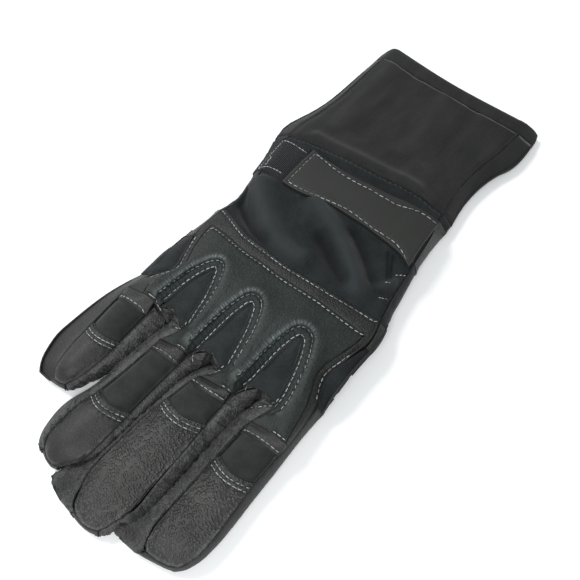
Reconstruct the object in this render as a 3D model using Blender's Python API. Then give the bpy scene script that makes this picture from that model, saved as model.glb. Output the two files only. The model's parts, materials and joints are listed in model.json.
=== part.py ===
"""Tactical glove for the right hand, lying back up, as it is sewn together.

Metres, +Z up. The fingers point along -Y, the cuff along +Y, the index side is +X.
One quad skin of the whole glove is modelled as a cage of rows and lines. Each leather, knit
and stretch panel is cut from that skin along its seams, drawn in by half a seam gap and given
its wall inwards, so that every panel is a closed solid and the hollow for the hand is open.
"""
import math

import bmesh
import bpy
from mathutils import Matrix, Vector
from mathutils.bvhtree import BVHTree

# Driving sizes
PALM_WIDTH = 0.113        # across the knuckles, lying flat
FINGER_LENGTH = 0.0867    # middle finger, crotch to tip
BACK_LENGTH = 0.054       # finger crotch to the wrist edge of the leather
WRIST_LENGTH = 0.074      # wrist fabric, from the leather to the cuff seam
CUFF_LENGTH = 0.089       # knit cuff, from its seam to its mouth
FINGER_WIDTH = 0.027
FINGER_HEIGHT = 0.0140
HAND_HEIGHT = 0.0190
THUMB_HEIGHT = 0.0084     # the thumb, folded flat under the palm
THUMB_LENGTH = 0.050      # from the palm's thumb hole to the tip
LEATHER = 0.0016
STRETCH = 0.0014
KNIT = 0.0020
SEAM_GAP = 0.0003
PAD_RISE = 0.0024         # foam ridge of the back pad over the leather
WELT = 0.0036             # flat border round each knuckle insert
STRAP_THICK = 0.0020
PATCH_RISE = 0.0008       # loop patch over the wrist fabric
SHARPEST = 1.2            # most that a corner's wall is stretched to keep its thickness
STRAP_SAMPLE = 0.0025     # how far round a point the strap feels for the wrist under it

# Where the long sections start, measured from the middle fingertip
CROTCH_Y = FINGER_LENGTH
SEAM_Y = CROTCH_Y + BACK_LENGTH + WRIST_LENGTH
MOUTH_Y = SEAM_Y + CUFF_LENGTH

# The cage: lines run along the glove, from the little finger's edge to the index's edge.
# Each finger takes four strips, and each gap between fingers takes two.
FINGER_STRIPS = 4
GAP_STRIPS = 2
FINGERS = ("little", "ring", "middle", "index")
PITCH = FINGER_STRIPS + GAP_STRIPS
LAST_LINE = PITCH * len(FINGERS) - GAP_STRIPS
# Rows run across it, from the fingertips to the cuff mouth.
ROW_TIP, ROW_CAP, ROW_KNUCKLE, ROW_LOBE, ROW_CROTCH = 0, 6, 8, 9, 10
ROW_INSERT, ROW_WELT, ROW_PAD, ROW_LEATHER = 14, 15, 16, 17
ROW_SEAM, ROW_MOUTH = 31, 39
UNDER, SIDE, BACK = 0, 1, 2    # the three levels of the cage

# One finger each. Places are shares of PALM_WIDTH (x) and FINGER_LENGTH (y from the middle tip).
FINGER_COLUMNS = ("root_x", "tip_x", "root_y", "tip_y", "knuckle_y", "cap_y", "cap_arc")
FINGER_TABLE = {
    "little": (-0.451, -0.487, 1.110, 0.415, 0.965, 0.760, 0.020),
    "ring": (-0.186, -0.272, 1.010, 0.125, 0.835, 0.510, 0.015),
    "middle": (0.057, -0.010, 0.995, 0.000, 0.805, 0.645, 0.045),
    "index": (0.318, 0.300, 0.990, 0.090, 0.760, 0.595, 0.010),
}
# Half outlines in shares of FINGER_WIDTH, from the finger's own axis: the two sides at their
# widest and the two seams of the back panel, at stations along the finger (0 root, 1 tip).
OUTLINE_COLUMNS = ("along", "left_side", "left_seam", "right_seam", "right_side")
OUTLINES = {
    "little": ((0.00, -0.50, -0.27, 0.38, 0.62), (0.33, -0.62, -0.23, 0.43, 0.61),
               (0.67, -0.65, -0.18, 0.43, 0.56), (0.88, -0.53, -0.10, 0.37, 0.43),
               (1.00, -0.34, -0.08, 0.24, 0.28)),
    "ring": ((0.00, -0.42, -0.22, 0.38, 0.56), (0.25, -0.44, -0.20, 0.38, 0.47),
             (0.50, -0.45, -0.22, 0.42, 0.49), (0.72, -0.60, -0.30, 0.45, 0.52),
             (0.90, -0.50, -0.28, 0.42, 0.47), (1.00, -0.31, -0.20, 0.28, 0.32)),
    "middle": ((0.00, -0.36, -0.25, 0.34, 0.61), (0.25, -0.50, -0.36, 0.38, 0.54),
               (0.50, -0.53, -0.45, 0.42, 0.55), (0.75, -0.53, -0.46, 0.42, 0.50),
               (0.90, -0.45, -0.38, 0.38, 0.43), (1.00, -0.28, -0.22, 0.29, 0.32)),
    "index": ((0.00, -0.46, -0.27, 0.46, 0.53), (0.25, -0.54, -0.29, 0.42, 0.52),
              (0.50, -0.59, -0.34, 0.38, 0.50), (0.75, -0.56, -0.38, 0.40, 0.49),
              (0.90, -0.45, -0.33, 0.36, 0.42), (1.00, -0.30, -0.22, 0.24, 0.28)),
}
# Heights in shares of FINGER_HEIGHT, the same for each finger
HEIGHT_COLUMNS = ("along", "seam", "crown")
FINGER_HEIGHTS = ((0.00, 0.82, 1.16), (0.30, 0.78, 1.08), (0.60, 0.74, 1.00),
                  (0.85, 0.68, 0.92), (0.94, 0.60, 0.76), (1.00, 0.44, 0.46))

# Crotches and the leaf-shaped inserts above them, in shares of PALM_WIDTH
INSERT_COLUMNS = ("crotch_x", "base_x", "tip_x", "half_width")
INSERTS = {
    "little_ring": (-0.284, -0.266, -0.250, 0.072),
    "ring_middle": (-0.030, -0.018, -0.016, 0.064),
    "middle_index": (0.212, 0.231, 0.225, 0.066),
}
# The cross rows of the back, in shares of BACK_LENGTH past the crotch, at five lines
ROW_COLUMNS = ("row", "little_edge", "little_ring", "ring_middle", "middle_index", "index_edge")
BACK_ROWS = (
    (ROW_CROTCH, 0.280, 0.125, 0.000, -0.017, 0.117),
    (ROW_INSERT, 0.580, 0.617, 0.487, 0.496, 0.470),
    (ROW_WELT, 0.820, 0.725, 0.580, 0.560, 0.746),
    (ROW_PAD, 1.005, 0.913, 0.854, 0.844, 0.830),
    (ROW_LEATHER, 1.220, 1.040, 0.974, 0.978, 1.015),
)
CROTCH_NOTCH = 0.005
CROTCH_HALF = 0.0021
TIP_ROUND = 0.05          # how far the corners of a fingertip's last row stay back
MOUTH_SLANT = 0.012       # the cuff is longer at the little finger's side
# Ends of the four raised lobes of the pad: shares of PALM_WIDTH and of FINGER_LENGTH
LOBE_COLUMNS = ("left_x", "right_x", "end_y")
LOBES = {
    "little": (-0.425, -0.362, 1.050),
    "ring": (-0.160, -0.115, 0.911),
    "middle": (0.087, 0.135, 0.868),
    "index": (0.344, 0.412, 0.826),
}
# Cross sections from the knuckles to the mouth: where along the glove (shares of the length
# of the zone that the row lies in), x in shares of PALM_WIDTH, heights of HAND_HEIGHT.
SECTION_COLUMNS = ("zone", "along", "left_side", "left_edge", "right_edge", "right_side",
                   "edge_height", "crown")
SECTIONS = (
    ("back", 0.00, -0.555, -0.490, 0.425, 0.450, 0.70, 0.97),
    ("back", 0.50, -0.537, -0.462, 0.430, 0.458, 0.72, 1.02),
    ("back", 0.78, -0.522, -0.451, 0.440, 0.470, 0.70, 1.00),
    ("back", 1.00, -0.500, -0.440, 0.425, 0.460, 0.74, 1.00),
    ("wrist", 0.30, -0.460, -0.412, 0.400, 0.427, 0.70, 0.95),
    ("wrist", 0.66, -0.500, -0.434, 0.400, 0.422, 0.76, 1.00),
    ("wrist", 1.00, -0.540, -0.466, 0.372, 0.428, 0.62, 0.86),
    ("cuff", 0.18, -0.535, -0.455, 0.358, 0.416, 0.56, 0.76),
    ("cuff", 0.40, -0.483, -0.425, 0.372, 0.434, 0.51, 0.68),
    ("cuff", 0.68, -0.465, -0.416, 0.416, 0.518, 0.47, 0.62),
    ("cuff", 1.00, -0.450, -0.407, 0.448, 0.522, 0.46, 0.60),
)
RECESS_IN = {"little": 0.060, "index": 0.048}    # stretch recesses at the sides, of PALM_WIDTH
UNDER_IN = 0.0024                                # how far the flat underside stays inside

# Soft folds of the wrist fabric: ends (x of PALM_WIDTH, y of WRIST_LENGTH past the leather),
# height of FOLD_HEIGHT and half width of FOLD_WIDTH.
FOLD_HEIGHT = 0.0030
FOLD_WIDTH = 0.0085
FOLD_COLUMNS = ("x0", "y0", "x1", "y1", "height", "width")
FOLDS = (
    (-0.39, 0.50, -0.14, 0.08, 0.9, 1.0),
    (-0.43, 0.36, -0.24, 0.06, -0.8, 0.9),
    (-0.12, 0.45, 0.28, 0.08, 1.0, 1.0),
    (0.02, 0.34, 0.20, 0.10, -1.0, 0.9),
    (0.10, 1.08, 0.32, 1.05, 0.7, 0.9),
)

# Strap tab over the wrist: shares of PALM_WIDTH and of WRIST_LENGTH past the leather
STRAP_COLUMNS = ("x", "low_y", "high_y")
STRAP = ((-0.287, 0.515, 0.905), (-0.195, 0.505, 0.860), (-0.050, 0.530, 0.832),
         (0.130, 0.520, 0.842), (0.250, 0.500, 0.872), (0.345, 0.480, 0.885),
         (0.388, 0.440, 0.868))
THUMB_HOLE_LINES = (17, 21)    # the palm's thumb hole, in lines and rows of the cage
THUMB_HOLE_ROWS = (13, 16)
THUMB_SLOPE = 0.02             # how far the folded thumb leans towards the wrist
PATCH_ROWS = (24, 30)
PATCH_LINES = (0, 4)

COLOURS = {
    "leather": ((0.045, 0.048, 0.044), 0.55),
    "stretch": ((0.022, 0.027, 0.028), 0.85),
    "knit": ((0.030, 0.031, 0.029), 0.92),
    "loop": ((0.024, 0.029, 0.031), 0.95),
    "strap": ((0.052, 0.054, 0.050), 0.48),
}


def named(columns, row):
    """One row of a table as a dictionary of its named columns."""
    return dict(zip(columns, row))


def mix(a, b, share):
    return a + (b - a) * share


def along_table(rows, place, column):
    """Read a column of a table at a place, smoothly between its rows."""
    for low, high in zip(rows, rows[1:]):
        if place <= high[0] or high is rows[-1]:
            share = min(max((place - low[0]) / (high[0] - low[0]), 0.0), 1.0)
            return mix(low[column], high[column], share * share * (3 - 2 * share))
    return rows[0][column]


def through(knots, place):
    """A straight run between knots given as (place, value)."""
    for (a, low), (b, high) in zip(knots, knots[1:]):
        if place <= b or (b, high) == knots[-1]:
            return mix(low, high, (place - a) / (b - a))
    return knots[0][1]


def finger_of(line):
    """The finger that a line of the cage lies on, or None in a gap."""
    number, strip = divmod(line, PITCH)
    return FINGERS[number] if strip <= FINGER_STRIPS else None


def gap_lines(gap):
    middle = PITCH * (list(INSERTS).index(gap) + 1) - GAP_STRIPS // 2
    return middle - 1, middle, middle + 1


# Finger rows
def row_share(finger, row):
    """Where a finger's row lies, from its root (0) to its tip (1)."""
    data = named(FINGER_COLUMNS, FINGER_TABLE[finger])
    length = data["root_y"] - data["tip_y"]
    cap = (data["root_y"] - data["cap_y"]) / length
    knuckle = (data["root_y"] - data["knuckle_y"]) / length
    if row <= ROW_CAP:
        return mix(1.0, cap, (row / ROW_CAP) ** 1.1)
    if row <= ROW_KNUCKLE:
        return mix(cap, knuckle, (row - ROW_CAP) / (ROW_KNUCKLE - ROW_CAP))
    return mix(knuckle, 0.0, (row - ROW_KNUCKLE) / (ROW_CROTCH - ROW_KNUCKLE))


def finger_point(finger, strip, row, level):
    """Plan place of a finger's vertex, in metres."""
    data = named(FINGER_COLUMNS, FINGER_TABLE[finger])
    share = row_share(finger, row)
    rows = OUTLINES[finger]
    columns = {BACK: (2, 3), SIDE: (1, 4), UNDER: (1, 4)}[level]
    left, right = (along_table(rows, share, column) * FINGER_WIDTH for column in columns)
    if level == UNDER:
        left, right = left + UNDER_IN, right - UNDER_IN
    across = strip / FINGER_STRIPS
    bend = (2 * across - 1) ** 2
    x = mix(data["root_x"], data["tip_x"], share) * PALM_WIDTH + mix(left, right, across)
    y = mix(data["root_y"], data["tip_y"], share) * FINGER_LENGTH
    tip = max(0.0, (share - 0.80) / 0.20)
    y += TIP_ROUND * FINGER_WIDTH * bend * tip * tip
    y += {BACK: 0.05, SIDE: 0.0, UNDER: 0.07}[level] * FINGER_WIDTH * tip ** 3
    if level == BACK and row > 0:
        arc = data["cap_arc"] * FINGER_LENGTH * (2 * across - 1) ** 2
        y += arc * max(0.0, 1 - abs(row - ROW_CAP) / 3)
    if row == ROW_LOBE and level == BACK:
        lobe = named(LOBE_COLUMNS, LOBES[finger])
        left, right = lobe["left_x"] * PALM_WIDTH, lobe["right_x"] * PALM_WIDTH
        x = (x, left, (left + right) / 2, right, x)[strip]
        y = lobe["end_y"] * FINGER_LENGTH
    return x, y


# Rows of the back, the wrist and the cuff
def section(y, column):
    """Read a column of the cross sections at a distance from the middle fingertip."""
    starts = {"back": (CROTCH_Y, BACK_LENGTH), "wrist": (CROTCH_Y + BACK_LENGTH, WRIST_LENGTH),
              "cuff": (SEAM_Y, CUFF_LENGTH)}
    place = SECTION_COLUMNS.index(column)
    rows = [(starts[row[0]][0] + row[1] * starts[row[0]][1], row[place]) for row in SECTIONS]
    return along_table(rows, y, 1)


def back_row_y(row, line):
    """How far along the glove a vertex of the back's rows lies."""
    lines = (0, 5, 11, 17, LAST_LINE)
    knots = [(data[0], through(list(zip(lines, data[1:])), line)) for data in BACK_ROWS]
    share = through(knots, row)
    y = CROTCH_Y + share * BACK_LENGTH
    if row < ROW_INSERT and any(line in (gap_lines(gap)[0], gap_lines(gap)[2]) for gap in INSERTS):
        y -= CROTCH_NOTCH * (ROW_INSERT - row) / (ROW_INSERT - ROW_CROTCH)
    return y


def long_row_y(row, line):
    """Rows past the leather straighten out towards the cuff seam, then run to the mouth."""
    if row <= ROW_LEATHER:
        return back_row_y(row, line)
    if row <= ROW_SEAM:
        share = (row - ROW_LEATHER) / (ROW_SEAM - ROW_LEATHER)
        return mix(back_row_y(ROW_LEATHER, line), SEAM_Y, share)
    share = (row - ROW_SEAM) / (ROW_MOUTH - ROW_SEAM)
    return mix(SEAM_Y, MOUTH_Y + MOUTH_SLANT * (1 - line / LAST_LINE), share)


def recess(edge, row):
    """The stretch recess at a side of the hand, as a bow of the leather's edge."""
    if not ROW_CROTCH < row < ROW_WELT:
        return 0.0
    share = (row - ROW_CROTCH) / (ROW_WELT - ROW_CROTCH)
    return RECESS_IN[edge] * PALM_WIDTH * math.sin(math.pi * share ** 1.15)


def edge_x(row, line, y):
    if line == 0:
        return section(y, "left_edge") * PALM_WIDTH + recess("little", row)
    return section(y, "right_edge") * PALM_WIDTH - recess("index", row)


def back_line_x(row, line):
    """Plan x of a vertex of the back, up to the leather's wrist edge."""
    y = back_row_y(row, line)
    if line in (0, LAST_LINE):
        return edge_x(row, line, y)
    first = edge_x(row, 0, back_row_y(row, 0))
    last = edge_x(row, LAST_LINE, back_row_y(row, LAST_LINE))
    known = {0: first, 1: first + WELT, LAST_LINE - 1: last - WELT, LAST_LINE: last}
    open_share = max(0.0, (ROW_INSERT - row) / (ROW_INSERT - ROW_CROTCH))
    for gap in INSERTS:
        data = named(INSERT_COLUMNS, INSERTS[gap])
        left, middle, right = gap_lines(gap)
        half = max(data["half_width"] * open_share ** 0.45, 0.007) * PALM_WIDTH
        half += max(0, row - ROW_INSERT) * WELT * 0.35
        centre = mix(data["tip_x"], data["base_x"], open_share) * PALM_WIDTH
        known.update({left - 1: centre - half - WELT, left: centre - half, middle: centre,
                      right: centre + half, right + 1: centre + half + WELT})
        if row == ROW_CROTCH:
            known[middle] = data["crotch_x"] * PALM_WIDTH
    return through(sorted(known.items()), line)


def long_line_x(row, line, y):
    """Past the leather the lines spread out evenly."""
    if row <= ROW_LEATHER:
        return back_line_x(row, line)
    left, right = edge_x(row, 0, y), edge_x(row, LAST_LINE, y)
    start = back_line_x(ROW_LEATHER, line)
    first, last = back_line_x(ROW_LEATHER, 0), back_line_x(ROW_LEATHER, LAST_LINE)
    leaving = max(0.0, 1 - (row - ROW_LEATHER) / 4)
    share = mix(line / LAST_LINE, (start - first) / (last - first), leaving)
    return mix(left, right, share)


# Heights
def thumb_axis():
    """The folded thumb: the far side of the palm's thumb hole and the thumb's tip."""
    low, high = THUMB_HOLE_ROWS
    y = (back_row_y(low, THUMB_HOLE_LINES[0]) + back_row_y(high, THUMB_HOLE_LINES[0])) / 2
    root = Vector((back_line_x(ROW_INSERT, THUMB_HOLE_LINES[1]), y))
    edge = back_line_x(ROW_INSERT, THUMB_HOLE_LINES[0])
    return root, Vector((edge - THUMB_LENGTH, y + THUMB_SLOPE * THUMB_LENGTH))


def under_height(x, y):
    """The underside lies flat, and is lifted where the folded thumb lies under the palm."""
    root, tip = thumb_axis()
    reach = tip - root
    place = Vector((x, y)) - root
    share = min(max(place.dot(reach) / reach.length_squared, 0.0), 0.93)
    away = (place - reach * share).length - FINGER_WIDTH * 0.74
    fall = min(max(1 - away / (FINGER_WIDTH * 0.38), 0.0), 1.0)
    return (THUMB_HEIGHT + SEAM_GAP) * fall * fall * (3 - 2 * fall)


def folds(x, y):
    """Height of the wrist's soft folds at a place."""
    total = 0.0
    for row in FOLDS:
        data = named(FOLD_COLUMNS, row)
        start = Vector((data["x0"] * PALM_WIDTH, data["y0"] * WRIST_LENGTH))
        end = Vector((data["x1"] * PALM_WIDTH, data["y1"] * WRIST_LENGTH))
        run = end - start
        place = Vector((x, y - CROTCH_Y - BACK_LENGTH)) - start
        share = place.dot(run) / run.length_squared
        ends = min(max(1.15 - abs(2 * share - 1) ** 4, 0.0), 1.0)
        away = (place - run * share).length / (data["width"] * FOLD_WIDTH)
        total += data["height"] * FOLD_HEIGHT * ends * math.exp(-away * away)
    return total


def hand_height(x, y, line):
    across = min(max(line / LAST_LINE, 0.0), 1.0)
    edge = section(y, "edge_height") * HAND_HEIGHT
    crown = section(y, "crown") * HAND_HEIGHT
    return edge + (crown - edge) * (1 - abs(2 * across - 1) ** 2.6)


def finger_height(finger, strip, row):
    share = row_share(finger, row)
    seam = along_table(FINGER_HEIGHTS, share, 1) * FINGER_HEIGHT
    crown = along_table(FINGER_HEIGHTS, share, 2) * FINGER_HEIGHT
    return seam + (crown - seam) * (1 - (2 * strip / FINGER_STRIPS - 1) ** 2)


def place(line, row, level):
    """The point of the glove's skin at a line, a row and a level of the cage."""
    finger = finger_of(line)
    strip = line % PITCH
    if row < ROW_CROTCH:
        x, y = finger_point(finger, strip, row, level)
        top = finger_height(finger, strip, row)
        floor = 0.0
    else:
        y = long_row_y(row, line)
        x = long_line_x(row, line, y)
        top = hand_height(x, y, line)
        if row < ROW_INSERT and finger:
            blend = (row - ROW_CROTCH + 1) / (ROW_INSERT - ROW_CROTCH + 1)
            top = mix(finger_height(finger, strip, ROW_CROTCH), top, blend)
        elif row < ROW_INSERT:
            blend = (row - ROW_CROTCH + 1) / (ROW_INSERT - ROW_CROTCH + 1)
            top = mix(FINGER_HEIGHTS[0][1] * FINGER_HEIGHT, top, blend)
        if row > ROW_LEATHER:
            top += folds(x, y)
        if level != BACK and row == ROW_CROTCH and 0 < line < LAST_LINE:
            for gap, data in INSERTS.items():
                if line in gap_lines(gap):
                    offset = (line - gap_lines(gap)[1]) * CROTCH_HALF
                    x = named(INSERT_COLUMNS, data)["crotch_x"] * PALM_WIDTH + offset
                    y = back_row_y(row, gap_lines(gap)[1]) - abs(offset)
                    y += UNDER_IN * 0.6 if level == UNDER else 0.0
        elif level != BACK:
            left, right = (section(y, side) * PALM_WIDTH for side in ("left_side", "right_side"))
            inside = UNDER_IN if level == UNDER else 0.0
            first, last = (section(y, edge) * PALM_WIDTH for edge in ("left_edge", "right_edge"))
            share = {0: 0.0, LAST_LINE: 1.0}.get(line, (x - first) / (last - first))
            x = mix(left + inside, right - inside, share)
        floor = under_height(x, y)
    widest = 0.45 + 0.17 * floor / THUMB_HEIGHT
    height = {UNDER: floor, SIDE: mix(floor, top, widest), BACK: top}[level]
    return Vector((x, y, height))


# The skin of the whole glove
def panel_of(line, row, level, upright):
    """Name the panel that a face belongs to, from the middle of the face in cage steps."""
    finger = finger_of(int(line))
    strip = line % PITCH
    if finger and strip > FINGER_STRIPS:
        finger = None
    left_half = line < LAST_LINE / 2
    if row > ROW_SEAM:
        if row > ROW_MOUTH - 1:
            return "cuff_hem"
        return "cuff_back" if level == BACK else "cuff_front"
    if row > ROW_LEATHER:
        patch = PATCH_ROWS[0] < row < PATCH_ROWS[1]
        if patch and (level == BACK and line < PATCH_LINES[1]
                      or upright and left_half and level > SIDE):
            return "loop_patch"
        if patch and upright and not left_half:
            return "strap_anchor"
        return "wrist_back" if level == BACK else "wrist_front"
    if level == BACK and not upright:
        if row > ROW_PAD or not 1 < line < LAST_LINE - 1 and row > ROW_LOBE:
            return "back_leather"
        if finger is None and row < ROW_INSERT:
            gap = list(INSERTS)[int(line) // PITCH]
            return "insert_" + gap
        if row > ROW_CROTCH or row > ROW_LOBE and 0 < strip < FINGER_STRIPS:
            return "back_pad"
        if row > ROW_KNUCKLE:
            return "knuckle_" + finger
        return ("stretch_" if row > ROW_CAP else "fingertip_") + finger
    low_line, high_line = THUMB_HOLE_LINES
    low_row, high_row = THUMB_HOLE_ROWS
    if not upright and low_line < line < high_line and low_row < row < high_row:
        return None
    if upright and row > ROW_CROTCH + 0.2:
        side = "little" if left_half else "index"
        if row < ROW_WELT and level > SIDE:
            return "side_stretch_" + side
        if not left_half and level > SIDE:
            return "side_tab"
        return "palm"
    if upright and 0 < line < LAST_LINE and row > 0:
        return "fourchette_" + list(INSERTS)[int(line - 2) // PITCH]
    return "palm"


def glove_skin():
    """The cage as one open mesh with its mouth open, each face marked with its panel."""
    mesh = bmesh.new()
    bmesh.ops.create_grid(mesh, x_segments=LAST_LINE, y_segments=ROW_MOUTH, size=0.5)
    for vert in mesh.verts:
        vert.co = Vector(((vert.co.x + 0.5) * LAST_LINE, (vert.co.y + 0.5) * ROW_MOUTH, BACK))
    between = [face for face in mesh.faces
               if face.calc_center_median().x % PITCH > FINGER_STRIPS
               and face.calc_center_median().y < ROW_CROTCH]
    bmesh.ops.delete(mesh, geom=between, context="FACES")
    made = bmesh.ops.extrude_face_region(mesh, geom=mesh.faces[:], use_keep_orig=True)
    for vert in made["geom"]:
        if isinstance(vert, bmesh.types.BMVert):
            vert.co.z = UNDER
    upright = [edge for edge in mesh.edges
               if abs(edge.verts[0].co.z - edge.verts[1].co.z) > SIDE]
    bmesh.ops.subdivide_edges(mesh, edges=upright, cuts=1, use_grid_fill=True)
    mouth = [face for face in mesh.faces
             if all(vert.co.y > ROW_MOUTH - 0.5 for vert in face.verts)]
    bmesh.ops.delete(mesh, geom=mouth, context="FACES")
    names = []
    holes = []
    mark = mesh.faces.layers.int.new("panel")
    for face in mesh.faces:
        middle = face.calc_center_median()
        heights = [vert.co.z for vert in face.verts]
        name = panel_of(middle.x, middle.y, middle.z, max(heights) - min(heights) > SIDE / 2)
        if name is None:
            holes.append(face)
            continue
        if name not in names:
            names.append(name)
        face[mark] = names.index(name)
    bmesh.ops.delete(mesh, geom=holes, context="FACES")
    return mesh, names


def pad_rise(line, row):
    """How far the back pad's foam stands above the leather at a vertex, from 0 to 1."""
    if row <= ROW_LOBE or row >= ROW_PAD:
        return 0.0
    strip = line % PITCH
    ridge = 1.0 if strip == 2 else 0.0
    if row > ROW_INSERT:
        return 0.55 if 1 < line < LAST_LINE - 1 else 0.0
    return ridge * min(1.0, 0.55 + 0.45 * (row - ROW_LOBE))


def rise_of(line, row, level):
    """Relief of the skin at a vertex, in metres: raised pad and loop patch, sunk inserts."""
    if level != BACK:
        return 0.0
    if row <= ROW_LEATHER:
        return PAD_RISE * pad_rise(line, row)
    on_patch = PATCH_ROWS[0] <= row <= PATCH_ROWS[1] and line < PATCH_LINES[1]
    return PATCH_RISE if on_patch else 0.0


def shape_cage(mesh, point, relief):
    """Move a cage to its real shape, and keep each vertex's inward direction and relief."""
    inward = mesh.verts.layers.float_vector.new("inward")
    rise = mesh.verts.layers.float.new("rise")
    for vert in mesh.verts:
        steps = [round(value) for value in vert.co]
        vert[rise] = relief(*steps)
        vert.co = point(*steps)
    bmesh.ops.recalc_face_normals(mesh, faces=mesh.faces[:])
    lowest = min(mesh.faces, key=lambda face: face.calc_center_median().z)
    if lowest.normal.z > 0:
        bmesh.ops.reverse_faces(mesh, faces=mesh.faces[:])
    mesh.normal_update()
    for vert in mesh.verts:
        vert[inward] = -vert.normal * min(vert.calc_shell_factor(), SHARPEST)


def panel_solid(skin, number, wall):
    """Cut one panel from the skin, draw its edge in by half a seam gap and give it its wall."""
    mesh = skin.copy()
    mark = mesh.faces.layers.int["panel"]
    inward = mesh.verts.layers.float_vector["inward"]
    rise = mesh.verts.layers.float["rise"]
    others = [face for face in mesh.faces if face[mark] != number]
    bmesh.ops.delete(mesh, geom=others, context="FACES")
    rim = bmesh.ops.inset_region(mesh, faces=mesh.faces[:], thickness=SEAM_GAP / 2,
                                 use_boundary=True, use_even_offset=True)
    bmesh.ops.delete(mesh, geom=rim["faces"], context="FACES")
    outer = mesh.verts[:]
    made = bmesh.ops.extrude_face_region(mesh, geom=mesh.faces[:], use_keep_orig=True)
    for vert in made["geom"]:
        if isinstance(vert, bmesh.types.BMVert):
            vert.co += Vector(vert[inward]) * wall
    for vert in outer:
        vert.co -= Vector(vert[inward]).normalized() * vert[rise]
    bmesh.ops.recalc_face_normals(mesh, faces=mesh.faces[:])
    return mesh


# Thumb
THUMB_PORT = THUMB_HOLE_LINES[1] - THUMB_HOLE_LINES[0]
THUMB_ACROSS = THUMB_HOLE_ROWS[1] - THUMB_HOLE_ROWS[0]
THUMB_STEPS = THUMB_PORT + 7


def thumb_cage():
    """The thumb as a flat pouch, open at the top where the palm's thumb hole is."""
    mesh = bmesh.new()
    bmesh.ops.create_grid(mesh, x_segments=THUMB_STEPS, y_segments=THUMB_ACROSS, size=0.5)
    for vert in mesh.verts:
        vert.co = Vector(((vert.co.x + 0.5) * THUMB_STEPS, (vert.co.y + 0.5) * THUMB_ACROSS, BACK))
    made = bmesh.ops.extrude_face_region(mesh, geom=mesh.faces[:], use_keep_orig=True)
    for vert in made["geom"]:
        if isinstance(vert, bmesh.types.BMVert):
            vert.co.z = UNDER
    upright = [edge for edge in mesh.edges
               if abs(edge.verts[0].co.z - edge.verts[1].co.z) > SIDE]
    bmesh.ops.subdivide_edges(mesh, edges=upright, cuts=1, use_grid_fill=True)
    port = [face for face in mesh.faces
            if min(vert.co.z for vert in face.verts) > SIDE + 0.5
            and max(vert.co.x for vert in face.verts) < THUMB_PORT + 0.5]
    bmesh.ops.delete(mesh, geom=port, context="FACES")
    mesh.faces.layers.int.new("panel")
    return mesh


def thumb_place(along, across, level):
    """The point of the thumb's skin: its port follows the palm's hole, its tip is round."""
    row = THUMB_HOLE_ROWS[0] + across
    share = across / THUMB_ACROSS
    if along <= THUMB_PORT:
        rim = place(THUMB_HOLE_LINES[1] - along, row, UNDER)
        height = {UNDER: 0.0, SIDE: 0.5, BACK: 1.0}[level] * (rim.z - SEAM_GAP)
        return Vector((rim.x, rim.y, height))
    low = place(THUMB_HOLE_LINES[0], THUMB_HOLE_ROWS[0], UNDER)
    high = place(THUMB_HOLE_LINES[0], THUMB_HOLE_ROWS[1], UNDER)
    part = (along - THUMB_PORT) / (THUMB_STEPS - THUMB_PORT)
    reach = 1 - (1 - part) ** 1.25
    half = (high.y - low.y) / 2 * (1 - 0.62 * max(0.0, (reach - 0.6) / 0.4) ** 2.2)
    bend = (2 * share - 1) ** 2
    inside = UNDER_IN if level == UNDER else 0.0
    x = mix(low.x, high.x, share) * (1 - reach) + mix(low.x, high.x, 0.5) * reach
    x -= reach * THUMB_LENGTH - TIP_ROUND * FINGER_WIDTH * bend * reach ** 5 - inside * reach ** 5
    y = (low.y + high.y) / 2 + reach * THUMB_SLOPE * THUMB_LENGTH + (2 * share - 1) * (half - inside)
    crown = THUMB_HEIGHT * (1 - 0.12 * bend) * (1 - 0.45 * max(0.0, (reach - 0.8) / 0.2) ** 2)
    return Vector((x, y, {UNDER: 0.0, SIDE: 0.45, BACK: 1.0}[level] * crown))


# Strap
STRAP_STEPS = 16
STRAP_ACROSS = 5


def strap_tab(collection):
    """The strap's tab: a flat strip laid over the wrist and the loop patch."""
    sewn = bmesh.new()
    for item in collection.objects:
        sewn.from_mesh(item.data)
    under = BVHTree.FromBMesh(sewn)
    sewn.free()
    mesh = bmesh.new()
    bmesh.ops.create_grid(mesh, x_segments=STRAP_STEPS, y_segments=STRAP_ACROSS, size=0.5)
    inward = mesh.verts.layers.float_vector.new("inward")
    start = CROTCH_Y + BACK_LENGTH
    for vert in mesh.verts:
        x = mix(STRAP[0][0], STRAP[-1][0], vert.co.x + 0.5)
        low, high = (along_table(STRAP, x, column) * WRIST_LENGTH for column in (1, 2))
        x *= PALM_WIDTH
        y = start + mix(low, high, vert.co.y + 0.5)
        tops = []
        for step in (-1.0, 0.0, 1.0):
            for lift in (-1.0, 0.0, 1.0):
                spot = Vector((x + step * STRAP_SAMPLE, y + lift * STRAP_SAMPLE, 1.0))
                hit = under.ray_cast(spot, Vector((0.0, 0.0, -1.0)))[0]
                tops.append(hit.z if hit else 0.0)
        vert.co = Vector((x, y, max(tops) + SEAM_GAP + STRAP_THICK))
        vert[inward] = Vector((0.0, 0.0, -1.0))
    made = bmesh.ops.extrude_face_region(mesh, geom=mesh.faces[:], use_keep_orig=True)
    for vert in made["geom"]:
        if isinstance(vert, bmesh.types.BMVert):
            vert.co.z -= STRAP_THICK
    bmesh.ops.recalc_face_normals(mesh, faces=mesh.faces[:])
    return mesh


CLOTH = {"insert": "stretch", "stretch": "stretch", "side_stretch": "stretch",
         "wrist": "stretch", "cuff": "knit", "loop": "loop", "strap": "strap"}
WALLS = {"leather": LEATHER, "stretch": STRETCH, "knit": KNIT, "loop": STRETCH, "strap": STRETCH}


def cloth_of(name):
    for start, cloth in CLOTH.items():
        if name.startswith(start):
            return cloth
    return "leather"


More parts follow.
